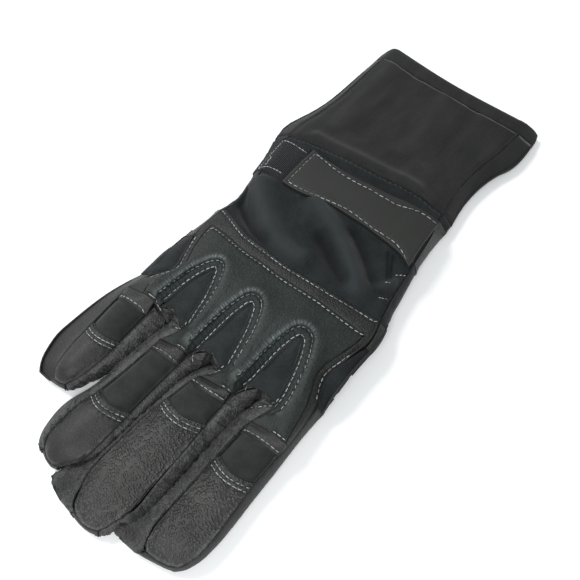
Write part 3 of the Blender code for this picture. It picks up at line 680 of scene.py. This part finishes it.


# %% [markdown]
# ## Folds
# The empty glove is slack at the wrist. Two long folds of its cloth run from the strap to the
# leather, with hollows beside them, and the cuff bulges over its seam. Each fold is a line in
# plan, in millimetres. The folds are kept as attributes for the cloth's colour too: a painted
# highlight on each crest and painted shade in each hollow.

# %% Folds
FOLDS = {                    # height, width and places in plan
    "wrist_back": (
        (3.2, 4.6, ((-42.5, 24), (-41, 20.4), (-34, 12), (-26.5, 4.5), (-17, -3), (-7, -9), (4, -11.6),
                    (14, -12))),
        (-3.2, 2.8, ((-45, 12), (-38, 1.5), (-30.6, -4), (-18.3, -12), (-7.1, -16))),
        (3.2, 4.4, ((-12, 22), (-5.5, 20.8), (3.4, 16.1), (13.2, 11.1), (23, 4.3), (31.7, -3.9),
                    (37.8, -10.2), (42.8, -16))),
        (-3, 3.6, ((4, 7), (10.8, 2.5), (19, -3), (27.3, -8.1), (34.9, -13.4))),
        (-3, 3, ((16, 19), (21.9, 15.1), (31, 7.7), (38.7, 1), (44.9, -4.2))),
        (2.6, 2.4, ((43, -4), (45.4, -2), (48.1, 2.1), (51.5, 6.7), (54, 10))),
        (-1.6, 1.8, ((42, -5.5), (48, -3.5), (53, -0.5))),
        (-1, 4, ((-30, 51.5), (-10, 49.5), (20, 49.5), (36, 51))),
    ),
    "cuff_back": (
        (1.3, 3.2, ((-40, 63.5), (-20, 61.5), (0, 61.5), (20.1, 61.5), (36, 61))),
        (0.8, 5, ((-30, 150), (-31, 110), (-28, 70))),
        (-0.7, 5, ((-14, 150), (-13, 110), (-16, 70))),
        (0.8, 5, ((8, 150), (12, 110), (10, 72))),
        (-0.7, 5, ((26, 150), (28, 115), (24, 75))),
    ),
}
FOLD_ENDS, FOLD_STEP, FOLD_PASSES = 7.0, 0.8, 12


def fold_lines(node):
    """Each fold of a panel: its height, width, points and a fade at both ends."""
    lines = []
    for height, width, plan in FOLDS.get(node, ()):
        run = smooth_run(evenly([(x, y, 0.0) for x, y in plan], FOLD_STEP), FOLD_PASSES)[:, :2]
        along = np.arange(len(run)) * FOLD_STEP
        fade = ease(along, 0.0, FOLD_ENDS) * ease(along[-1] - along, 0.0, FOLD_ENDS)
        lines.append((height, width, run, fade))
    return lines


def fold_rise(lines, place):
    """How far the folds raise a place in plan, in millimetres."""
    rise = 0.0
    for height, width, run, fade in lines:
        apart = np.hypot(run[:, 0] - place[0], run[:, 1] - place[1])
        nearest = int(np.argmin(apart))
        rise += height * fade[nearest] * math.exp(-(apart[nearest] / width) ** 2)
    return rise


# %% [markdown]
# ## Beside the tips, and painted highlights at the rims
# The leather squeezed out beside two tips belongs to the fingers' side walls but looks up, so it
# is pressed too, inside the circles of LUMPS. Small hollows lie in it, with painted shade in them.
# The rims of the fingers' leather get a painted highlight in patches. Nothing sinks into the table.

# %% Press a panel
# at this height the painted highlight on a fold's crest is strongest
FULL_BEND = 3.0              # the fold's height at which cloth is lightest
LUMPS = ((-14.5, -148.5, 8.0), (22.0, -148.5, 7.5))
HOLLOWS = (                  # panel, place in plan, radius and depth
    ("fourchette_ring_middle", -11.6, -148.6, 4.4, 0.9),
    ("fourchette_middle_index", 23.0, -139.5, 3.6, 0.7),
    ("fourchette_middle_index", 22.8, -145.6, 4.0, 0.9),
)
HOLLOW_SHADE = 1.2
# the strongest painted highlight on the rims of each kind of panel
RIM_HIGHLIGHT_SHARES = {"fingertip": 0.30, "fourchette": 0.20}
RIM_PLACE, RIM_SPREAD = 0.9, 0.75
LOWEST = 0.05 * MM           # above the table


def apart_in_plan(places, x, y, radius):
    return np.hypot(places[:, 0] / MM - x, places[:, 1] / MM - y) / radius


def squeezed_share(places):
    """How much of a place belongs to the leather that is squeezed out between two tips."""
    share = np.zeros(len(places))
    for lump in LUMPS:
        share = np.maximum(share, np.exp(-apart_in_plan(places, *lump) ** 4))
    return share


def rim_highlight_at(most, point, from_rim, from_row):
    """How strong the painted highlight on a panel's rim is at a place; beside a stitched row there is none."""
    patchy = 0.6 + 0.8 * patches(point, 1.3) + 0.5 * patches(point, 9)
    line = math.exp(-((from_rim - RIM_PLACE) / RIM_SPREAD) ** 2)
    return most * max(patchy, 0.0) * line * float(ease(from_row, 3.0, 5.0))


def padded_lip(point, amount):
    """The rippled lip of the padding: its move, its painted highlight, and the painted shade of its channel."""
    _, near, distance = lip_tree.find(point)
    distance /= MM
    if distance >= LIP_REACH:
        return amount, 0.0, 0.0
    foot, _, inside = insert_tree.find(point)
    way = (point - np.array(foot)) / max(inside, 1e-6)
    lit = float(ease(-0.8 * way[0] + 0.6 * way[1], 0.0, 0.6))
    inside /= MM
    outside = float(ease(inside, 3.9, 4.9))
    lip = outside * math.exp(-((distance - 1.4) / 1.2) ** 2)
    along = lip_facts[near][1] / MM
    ripple = math.sin(along * 2 * math.pi / RIPPLE + 2.2 * noise.noise(Vector((along / 3.0, 0.5, 0.5))))
    amount += LIP_RISE * outside * math.exp(-(max(distance - 1.7, 0.0) / 4.0) ** 2)
    amount += 0.09 * ripple * lip
    between_rows = float(ease(inside, 0.8, 1.4) * (1 - ease(inside, 3.6, 4.3)))
    amount += 0.07 * ripple * between_rows - 0.12 * between_rows
    uneven_highlight = 0.5 + 0.5 * noise.noise(Vector((along / 5.0, near, 1.5)))
    # a painted highlight on the lip, in strokes along its ripples, strongest on the sides that face the light
    painted_highlight = lip * (0.2 + 0.8 * lit * uneven_highlight) * (0.25 + 0.75 * max(ripple, 0.0))
    # the channel's painted shade: the sunken strip between the rows is painted darker and bluer, more where lit
    # is high
    return amount, painted_highlight, between_rows * (0.35 + 0.65 * lit)


def vertex_array(mesh, name):
    values = np.empty(len(mesh.vertices) * 3)
    mesh.vertices.foreach_get(name, values)
    return values.reshape(-1, 3)


def press(piece, node):
    """Move a finished panel's outer vertices along their normals by its relief."""
    mesh = piece.data
    places, normals = vertex_array(mesh, "co"), vertex_array(mesh, "normal")
    weights = ease(outward(places, normals), 0.15, 0.6)
    middle, edge, width, loose = by_start(RELIEF, node, PLAIN)
    rim_tree = tree_of_points(edge_points(node))
    folds = fold_lines(node)
    rim_highlight_most = by_start(RIM_HIGHLIGHT_SHARES, node, 0.0)
    move, lifts, groove_shades, painted_highlight, channel_shade, fold_shading = (np.zeros(len(places)) for _ in range(6))
    if node.startswith("fourchette"):
        weights = np.maximum(weights, squeezed_share(places) * ease(normals[:, 2], 0.05, 0.35))
    for number in np.nonzero(weights > 0)[0]:
        point = places[number]
        from_rim = rim_tree.find(point)[2] / MM
        near_edge = math.exp(-(from_rim / width) ** 2)
        amount = middle * (1 - near_edge) + edge * near_edge
        amount += UNEVEN * patches(point, 15)
        amount += loose * (1 - near_edge) * wrinkles(node, point)
        _, near, distance = row_tree.find(point)
        distance /= MM
        if rim_highlight_most:
            # a painted highlight along the rim
            painted_highlight[number] = rim_highlight_at(rim_highlight_most, point, from_rim, distance)
        if distance < 4 * TRENCH_WIDTH:
            depth, along, pitch = row_facts[near]
            pull = math.exp(-(distance / TRENCH_WIDTH) ** 2) * depth
            between = math.cos(2 * math.pi * along / pitch) if pitch < UNSEWN * MM else 0.0
            amount -= TRENCH_DEPTH * pull * (0.8 - 0.2 * between)
            amount += 0.08 * between * depth * math.exp(-((distance - 1.1) / 0.7) ** 2)
            # painted shade in the trench of a seam
            groove_shades[number] = pull
        if node == "back_pad":
            amount, painted_highlight[number], channel_shade[number] = padded_lip(point, amount)
        move[number] = amount * weights[number] * MM
    # the folds' heights also drive the cloth's painted highlight on crests and painted shade in hollows
    if folds:
        for number, point in enumerate(places / MM):
            near_edge = math.exp(-(rim_tree.find(places[number])[2] / MM / 2.2) ** 2)
            rise = fold_rise(folds, point)
            lifts[number] = rise * (1 - near_edge) * MM
            fold_shading[number] = rise / FULL_BEND
    for owner, x, y, radius, depth in HOLLOWS:
        if owner == node:
            sunk = np.exp(-apart_in_plan(places, x, y, radius) ** 2) * ease(normals[:, 2], 0.1, 0.5) * weights
            lifts -= depth * sunk * MM
            # painted shade in the hollow, as well as its dip
            groove_shades = np.maximum(groove_shades, HOLLOW_SHADE * sunk)
    places += normals * move[:, None]
    places[:, 2] = np.maximum(places[:, 2] + lifts, LOWEST)
    mesh.vertices.foreach_set("co", places.ravel())
    for name, values in (("groove_shade", groove_shades), ("painted_highlight", painted_highlight), ("channel_shade", channel_shade),
                         ("fold_crest_highlight", np.clip(fold_shading, 0, 1)), ("fold_hollow_shade", np.clip(-fold_shading, 0, 1))):
        mesh.attributes.new(name, "FLOAT", "POINT").data.foreach_set("value", values)
    mesh.update()


# %% [markdown]
# ## Leather and cloth
# Leather is a fine pebble grain: small domes with creases between them, broken up by noise, as
# bump and as a slight change of colour; the tops of the domes are painted lighter, a tone of the
# grain and, on the pebbled leather, a painted highlight on each pebble. Suede and stretch cloth
# have a short nap with a soft sheen. All patterns read Object coordinates, which are metres on
# the glove, so a scale of 1000 makes one cell a millimetre. Attributes from the relief steer the
# colour. "groove_shade" is painted shade in the trench of a seam and in the hollows beside the
# tips, and "channel_shade" painted shade, darker and bluer, in the strip between the padding's
# two rows. "painted_highlight" is a painted highlight on the padding's rippled lip and on the
# rims of the fingers' leather. On cloth, "fold_crest_highlight" is a painted highlight on a fold
# and "fold_hollow_shade" painted shade in the hollow beside it.

# %% Node helpers
ONES = (1.0, 1.0, 1.0)


class Finish:
    """A new material, with short ways to add nodes to it."""

    def __init__(self, name, colour, roughness):
        self.material = bpy.data.materials.new(name)
        self.material.use_nodes = True
        self.tree = self.material.node_tree
        self.shader = self.tree.nodes["Principled BSDF"]
        self.feed(self.shader, Base_Color=colour, Roughness=roughness)

    def put(self, socket, value):
        """Link a socket to another node's output, or give it a value."""
        if isinstance(value, bpy.types.NodeSocket):
            self.tree.links.new(value, socket)
        else:
            socket.default_value = (*value, 1.0) if socket.type == "RGBA" else value

    def feed(self, node, **values):
        for name, value in values.items():
            self.put(node.inputs[name.replace("_", " ")], value)

    def add(self, kind, settings=(), **values):
        node = self.tree.nodes.new("ShaderNode" + kind)
        for name, value in dict(settings).items():
            setattr(node, name, value)
        self.feed(node, **values)
        return node.outputs

    def reckon(self, operation, *values, kind="Math"):
        node = self.tree.nodes.new("ShaderNode" + kind)
        node.operation = operation
        for socket, value in zip(node.inputs, values):
            self.put(socket, value)
        return node.outputs[0]

    def times(self, first, second):
        return self.reckon("MULTIPLY", first, second)

    def plus(self, first, second):
        return self.reckon("ADD", first, second)

    def place(self, scale=ONES, turn=0.0):
        return self.add("Mapping", Vector=self.add("TexCoord")["Object"], Scale=scale,
                        Rotation=(0.0, 0.0, math.radians(turn)))["Vector"]

    def noise(self, place, scale, detail=3.0, rough=0.55):
        return self.add("TexNoise", Vector=place, Scale=scale, Detail=detail, Roughness=rough)["Fac"]

    def spread(self, value, low, high, out_low=0.0, out_high=1.0):
        return self.add("MapRange", {"interpolation_type": "SMOOTHSTEP"}, Value=value, From_Min=low,
                        From_Max=high, To_Min=out_low, To_Max=out_high)["Result"]

    def tint(self, factor, dark, light):
        return self.add("Mix", {"data_type": "RGBA"}, A=dark, B=light, Factor=factor)["Result"]

    def relief(self, name):
        return self.add("Attribute", {"attribute_name": name})["Fac"]

    def bump(self, height, distance):
        self.feed(self.shader, Normal=self.add("Bump", Distance=distance, Strength=1.0, Height=height)["Normal"])


def scaled(colour, factor):
    return tuple(value * factor for value in colour)


# %% Leather
# colours of the painted highlight: on the padding's lip, and on the rims of the fingers' leather
PAD_HIGHLIGHT_COLOUR, RIM_HIGHLIGHT_COLOUR = (0.19, 0.23, 0.23), (0.16, 0.164, 0.158)
# colour of the painted shade in the sunken strip between the padding's two rows
CHANNEL_SHADE_COLOUR = (0.0075, 0.0125, 0.0135)
# the colour of the painted shade in trenches and hollows
SHADE_SHARE = 0.3                   # of the dark colour, in a trench or a hollow


def leather(name, grain, depth, dark, light, roughness=(0.42, 0.6), drawn=ONES, turn=0.0,
            wobble_size=0.35, cell="SMOOTH_F1", gloss=0.35, highlight_colour=RIM_HIGHLIGHT_COLOUR):
    """Grained leather: domes of one over grain metres, and creases between them."""
    made = Finish(name, dark, 0.5)
    place = made.place(drawn, turn)
    wobble = made.add("TexNoise", Vector=place, Scale=grain * 0.5)["Color"]
    bent = made.reckon("MULTIPLY_ADD", wobble, (wobble_size / grain,) * 3, place, kind="VectorMath")
    cells = made.add("TexVoronoi", {"feature": cell}, Vector=bent, Scale=grain)["Distance"]
    domes = made.spread(cells, 0.62, 0.12)
    fine, coarse = made.noise(place, grain * 2.6, 4.0, 0.65), made.noise(place, grain * 0.1)
    height = made.plus(made.times(domes, 0.8), made.times(fine, 0.35))
    made.bump(made.plus(height, made.times(coarse, 0.8)), depth)
    patch = made.spread(coarse, 0.3, 0.7, 0.0, 0.35)
    # the tops of the domes are lighter: a tone of the grain, and in the pebbled leather a painted highlight on
    # each pebble
    colour = made.tint(made.plus(patch, made.times(domes, 0.65)), dark, light)
    # painted shade in the channel between the padding's two rows
    colour = made.tint(made.relief("channel_shade"), colour, CHANNEL_SHADE_COLOUR)
    # painted highlight on the padding's lip and on the rims of the fingers' leather
    colour = made.tint(made.relief("painted_highlight"), colour, highlight_colour)
    # painted shade in the trenches of seams and in the hollows beside the tips
    colour = made.tint(made.times(made.relief("groove_shade"), 0.55), colour, scaled(dark, SHADE_SHARE))
    made.feed(made.shader, Base_Color=colour, Roughness=made.spread(fine, 0.3, 0.7, *roughness),
              Specular_IOR_Level=gloss)
    return made.material


# %% Cloth
def brushed_cloth(name, dark, light, nap=2600.0, sheen=0.1, drawn=ONES):
    """Suede-like stretch cloth: a short nap with soft sheen."""
    made = Finish(name, dark, 0.95)
    place = made.place(drawn)
    hairs, cloud = made.noise(place, nap, 4.0, 0.7), made.noise(place, nap * 0.05)
    made.bump(made.plus(hairs, made.times(cloud, 0.6)), 0.00012)
    mixed = made.plus(made.times(hairs, 0.6), made.times(cloud, 0.4))
    colour = made.tint(made.spread(mixed, 0.38, 0.62), dark, light)
    # painted shade in a trench, a painted highlight on a fold's crest and painted shade in its hollow
    for attribute, share, aim in (("groove_shade", 0.6, scaled(dark, SHADE_SHARE)), ("fold_crest_highlight", 0.75, scaled(light, 1.6)),
                                  ("fold_hollow_shade", 0.6, scaled(dark, SHADE_SHARE))):
        colour = made.tint(made.times(made.relief(attribute), share), colour, aim)
    made.feed(made.shader, Base_Color=colour, Sheen_Weight=sheen, Sheen_Roughness=0.45, Specular_IOR_Level=0.15)
    return made.material


RIB = 1.07


def loop_cloth(name, dark, light):
    """Loop tape: rows of tiny loops, in ribs that run along the glove."""
    made = Finish(name, dark, 0.95)
    place = made.place()
    ribs = made.add("TexWave", {"bands_direction": "X"}, Vector=place, Scale=2 * math.pi / (20.0 * RIB * MM),
                    Distortion=1.2, Detail=1.0, Detail_Scale=8.0)["Fac"]
    height = made.plus(ribs, made.times(made.noise(place, 2200.0, 3.0, 0.7), 0.8))
    made.bump(height, 0.0003)
    made.feed(made.shader, Base_Color=made.tint(made.spread(height, 0.5, 1.4), dark, light),
              Sheen_Weight=0.08, Specular_IOR_Level=0.15)
    return made.material


def thread_material(name, dark, light):
    """Twisted thread. The colour changes slowly, so that some stitches are duller."""
    made = Finish(name, light, 0.6)
    place = made.place()
    made.bump(made.noise(place, 4500.0), 0.00008)
    dull = made.spread(made.noise(place, 260.0, 2.0, 0.7), 0.35, 0.6)
    made.feed(made.shader, Base_Color=made.tint(dull, dark, light))
    return made.material


# %% The finishes
finishes = {
    "leather": leather("fine leather", 1900, 0.0001, (0.0098, 0.0102, 0.0094), (0.0206, 0.0212, 0.0196)),
    "back": leather("back leather", 1500, 0.00018, (0.007, 0.0076, 0.0072), (0.019, 0.0202, 0.0194),
                    gloss=0.3),
    # its light colour, far above its dark, is a painted highlight on each pebble
    "pebbled": leather("pebbled leather", 800.0, 0.00055, (0.0042, 0.0045, 0.0041), (0.055, 0.0561, 0.0523),
                       (0.36, 0.52), wobble_size=0.15, cell="F1", gloss=0.45),
    # a lighter copy of the fingers' leather for the walls between the fingers: painted light on walls that lie
    # in shade
    "side": leather("finger side leather painted lighter", 1500, 0.00026, (0.0125, 0.0131, 0.0125), (0.06, 0.062, 0.0595)),
    "pad": leather("pad leather", 1700, 0.00014, (0.0102, 0.0132, 0.0117), (0.0204, 0.0256, 0.023), (0.5, 0.65),
                   drawn=(1.0, 0.5, 1.0), turn=28.0, gloss=0.25, highlight_colour=PAD_HIGHLIGHT_COLOUR),
    "turned": leather("turned leather", 1900, 0.00005, (0.006, 0.0064, 0.006), (0.011, 0.0114, 0.0105)),
    "stretch": brushed_cloth("brushed stretch", (0.015, 0.016, 0.0155), (0.0275, 0.029, 0.0282)),
    "suede": brushed_cloth("brushed suede", (0.007, 0.0088, 0.0093), (0.0155, 0.0187, 0.0197), 1900, 0.09),
    "insert": brushed_cloth("insert suede", (0.0105, 0.0126, 0.0132), (0.0215, 0.0248, 0.0256), 1900, 0.12),
    "knit": brushed_cloth("cuff knit", (0.0085, 0.0088, 0.0084), (0.0165, 0.017, 0.0162), 1500, 0.15,
                          drawn=(1.7, 0.55, 1.0)),
    "loop": loop_cloth("loop pile", (0.002, 0.0028, 0.0032), (0.0115, 0.0136, 0.0146)),
    "strap": leather("smooth strap", 2400, 0.00003, (0.0142, 0.0152, 0.0137), (0.0163, 0.0174, 0.0157),
                     (0.6, 0.7)),
}
threads = {
    "pale": thread_material("pale thread", (0.1, 0.11, 0.108), (0.36, 0.4, 0.395)),
    "dim": thread_material("dim thread", (0.04, 0.046, 0.046), (0.24, 0.27, 0.265)),
    "dark": thread_material("dark thread", (0.012, 0.012, 0.014), (0.03, 0.03, 0.034)),
}
OWN_FINISH = {"fingertip_middle": "pebbled", "fingertip_index": "pebbled", "back_pad": "pad",
              "insert": "insert", "fourchette": "side", "back_leather": "back", "wrist": "suede",
              "side_stretch": "suede"}
SLOTS = {subpart["node"]: subpart["material_slot"] for subpart in frame["record"]["subparts"]}
print(len(finishes) + len(threads), "finishes")

# %% [markdown]
# ## Dress every panel
# The panels that show are subdivided twice more, and those with the finest relief three times.
# The underside is left one step coarser. Each finished panel rides on the glove's one body and
# replaces its plain solid, which stays in the physics.

# %% Dress
UNSEEN = ("palm", "wrist_front", "cuff_front", "thumb")
FINEST = ("back_pad", "fingertip", "fourchette")
EDGE_CREASE = 0.85
dressed = {}
for node in frame["nodes"]:
    levels = 1 if node in UNSEEN else 3 if node.startswith(FINEST) else 2
    name = node + "_panel"
    piece = new_object(name, soft_mesh(cages[node].copy(), name, levels, EDGE_CREASE))
    press(piece, node)
    piece.data.materials.append(finishes[by_start(OWN_FINISH, node, SLOTS[node])])
    smooth_faces(piece.data)
    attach(piece, "root")
    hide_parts(node)
    dressed[node] = piece
print(sum(len(piece.data.polygons) for piece in dressed.values()), "faces on the panels, most on",
      max((len(piece.data.polygons), node) for node, piece in dressed.items()))

# %% [markdown]
# ## Turned-in edges
# Where two panels are sewn together, both are folded inwards, and the folds fill the bottom of
# the seam. Without them light falls through the seams of the solids, which stand a little apart.
# A fold is a thin bead along each panel's outer edge, just below the surface, so a curve with
# a round bevel makes it, and the curve is turned into a mesh.

# %% Lay the turned-in edges
FOLD_THICK = 0.55 * MM       # half of the bead's width
FOLD_DEEP = 0.25 * MM
FOLD_IN = 0.15               # millimetres, from the edge towards the other panel
LOOSE_EDGES = ("strap_tab", "loop_patch", "cuff_hem")


def inward_of(edge):
    """The way from an outer edge into the seam and down into the wall."""
    normals = [face.normal for face in edge.link_faces]
    looks = looks_of(edge.link_faces)
    face, side = normals if looks[0] > looks[1] else reversed(normals)
    return side * FOLD_IN * MM, -face


def turned_edges(node):
    """Runs of points along the bottom of a panel's seams."""
    sides, downs = {}, {}
    for edge in rims[node]:
        side, down = inward_of(edge)
        for vert in edge.verts:
            sides[vert] = sides.get(vert, Vector()) + side / 2
            downs[vert] = downs.get(vert, Vector()) + down
    depth = FOLD_THICK + FOLD_DEEP - by_start(RELIEF, node, PLAIN)[1] * MM
    return [[vert.co + sides[vert] + downs[vert].normalized() * depth for vert in run]
            for run in all_runs(rims[node]) if len(run) > 2]


beads = bpy.data.curves.new("turned_edges", "CURVE")
beads.dimensions = "3D"
beads.bevel_depth = FOLD_THICK
beads.bevel_resolution = 1
for node in frame["nodes"]:
    if node in LOOSE_EDGES:
        continue
    for run in turned_edges(node):
        bead = beads.splines.new("POLY")
        bead.points.add(len(run) - 1)
        for point, place in zip(bead.points, run):
            point.co = (*place, 1.0)
bead_curve = new_object("turned_edges_curve", beads)
graph = bpy.context.evaluated_depsgraph_get()
turned_mesh = bpy.data.meshes.new_from_object(bead_curve.evaluated_get(graph))
bpy.data.objects.remove(bead_curve)
turned = new_object("turned_edges", turned_mesh)
turned_mesh.materials.clear()
for vert in turned_mesh.vertices:
    vert.co.z = max(vert.co.z, LOWEST)
turned_mesh.materials.append(finishes["turned"])
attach(turned, "root")
print(len(beads.splines), "turned edges,", len(turned_mesh.polygons), "faces")

# %% [markdown]
# ## Thread
# One stitch is a small ball stretched to 2 mm, with blunt ends that dive into the leather. It is
# laid on the finished surface by dropping a ray on it, and turned to lie along its row. No two
# stitches of a hand-fed machine are quite alike, so each one is a little off.

# %% Lay the stitches
STITCH_SHARE = 0.86          # of the pitch
STITCH_THICK = 0.40 * MM
BLUNT = 0.45                 # a ball is 1
DIVE = 0.7                   # of the thickness
BALL_ACROSS, BALL_RINGS = 6, 8
SEARCH_FROM, SEARCH_WITHIN = 12 * MM, 3 * MM
STEEPEST = 0.15              # a stitch needs a surface whose normal rises more than this
noise.seed_set(1)            # without a seed, noise_vector differs from run to run


def lay_stitches(name, thread, surface):
    """All the stitches of one thread, as one mesh."""
    work = bmesh.new()
    count = 0
    for row in rows:
        if row["thread"] != thread:
            continue
        marks = evenly(row["points"], row["pitch"])
        for start, end in zip(marks, marks[1:]):
            middle, run = Vector((start + end) / 2), Vector(end - start)
            hit, normal, _, _ = surface.ray_cast(middle + Vector((0, 0, SEARCH_FROM)), Vector((0, 0, -1)))
            if hit is None or normal.z < STEEPEST or abs(hit.z - middle.z) > SEARCH_WITHIN:
                continue
            along = (run - normal * run.dot(normal)).normalized()
            across = normal.cross(along)
            jitter = noise.noise_vector(middle / (1.7 * MM))
            along = (along + across * jitter.x * 0.16).normalized()
            turn = Matrix((along, normal.cross(along), normal)).transposed().to_4x4()
            seat = Matrix.Translation(hit + normal * STITCH_THICK * 0.2 + across * jitter.y * 0.15 * MM)
            ball = bmesh.ops.create_uvsphere(work, u_segments=BALL_ACROSS, v_segments=BALL_RINGS, radius=1.0)
            length = row["pitch"] * STITCH_SHARE * (1 + 0.15 * jitter.z) / 2
            for vert in ball["verts"]:
                round_part = max(1e-3, 1 - vert.co.z ** 2) ** 0.5
                full = round_part ** BLUNT / round_part * STITCH_THICK / 2
                vert.co = (seat @ turn) @ Vector((vert.co.z * length, vert.co.x * full,
                                                  vert.co.y * full - DIVE * STITCH_THICK * vert.co.z ** 4))
            count += 1
    mesh = finished_mesh(work, name)
    smooth_faces(mesh)
    piece = new_object(name, mesh)
    mesh.materials.append(threads[thread])
    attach(piece, "root")
    print(count, "stitches in", name)


surface = joined_tree(piece.data for piece in dressed.values())
for thread, slot in (("pale", "leather"), ("dim", "leather"), ("dark", "knit")):
    lay_stitches(thread + "_stitches", thread, surface)

# %% [markdown]
# ## Table and light
# The picture is bright: the table is white past what the picture can hold, and the glove's
# shadow is faint. A ceiling light from the little finger's side leaves the soft shadow beside
# the wrist, and a window from beyond the fingertips shows the grain. The glove gets lighter
# towards that window.

# %% Stage
TABLE_SIZE = 3.0
table_grid = bmesh.new()
bmesh.ops.create_grid(table_grid, x_segments=1, y_segments=1, size=TABLE_SIZE)
table = new_object("table", finished_mesh(table_grid, "table"))
table.location.z = cad_box[0][2]
table.data.materials.append(Finish("white table", (0.88, 0.895, 0.90), 0.7).material)

world = bpy.data.worlds.new("studio")
world.use_nodes = True
sky = world.node_tree.nodes["Background"]
sky.inputs["Color"].default_value = (0.96, 0.98, 1.0, 1.0)
sky.inputs["Strength"].default_value = 0.44
bpy.context.scene.world = world


def soft_light(name, place, size, power):
    lamp = bpy.data.lights.new(name, "AREA")
    lamp.size = size
    lamp.energy = power
    made = new_object(name, lamp)
    made.location = place
    made.rotation_euler = (-Vector(place)).to_track_quat("-Z", "Y").to_euler()


# place and size in metres, power in watts
soft_light("ceiling", (-0.85, 0.05, 1.0), 0.5, 12.4)
soft_light("window", (0.35, -0.75, 0.9), 0.7, 12.0)
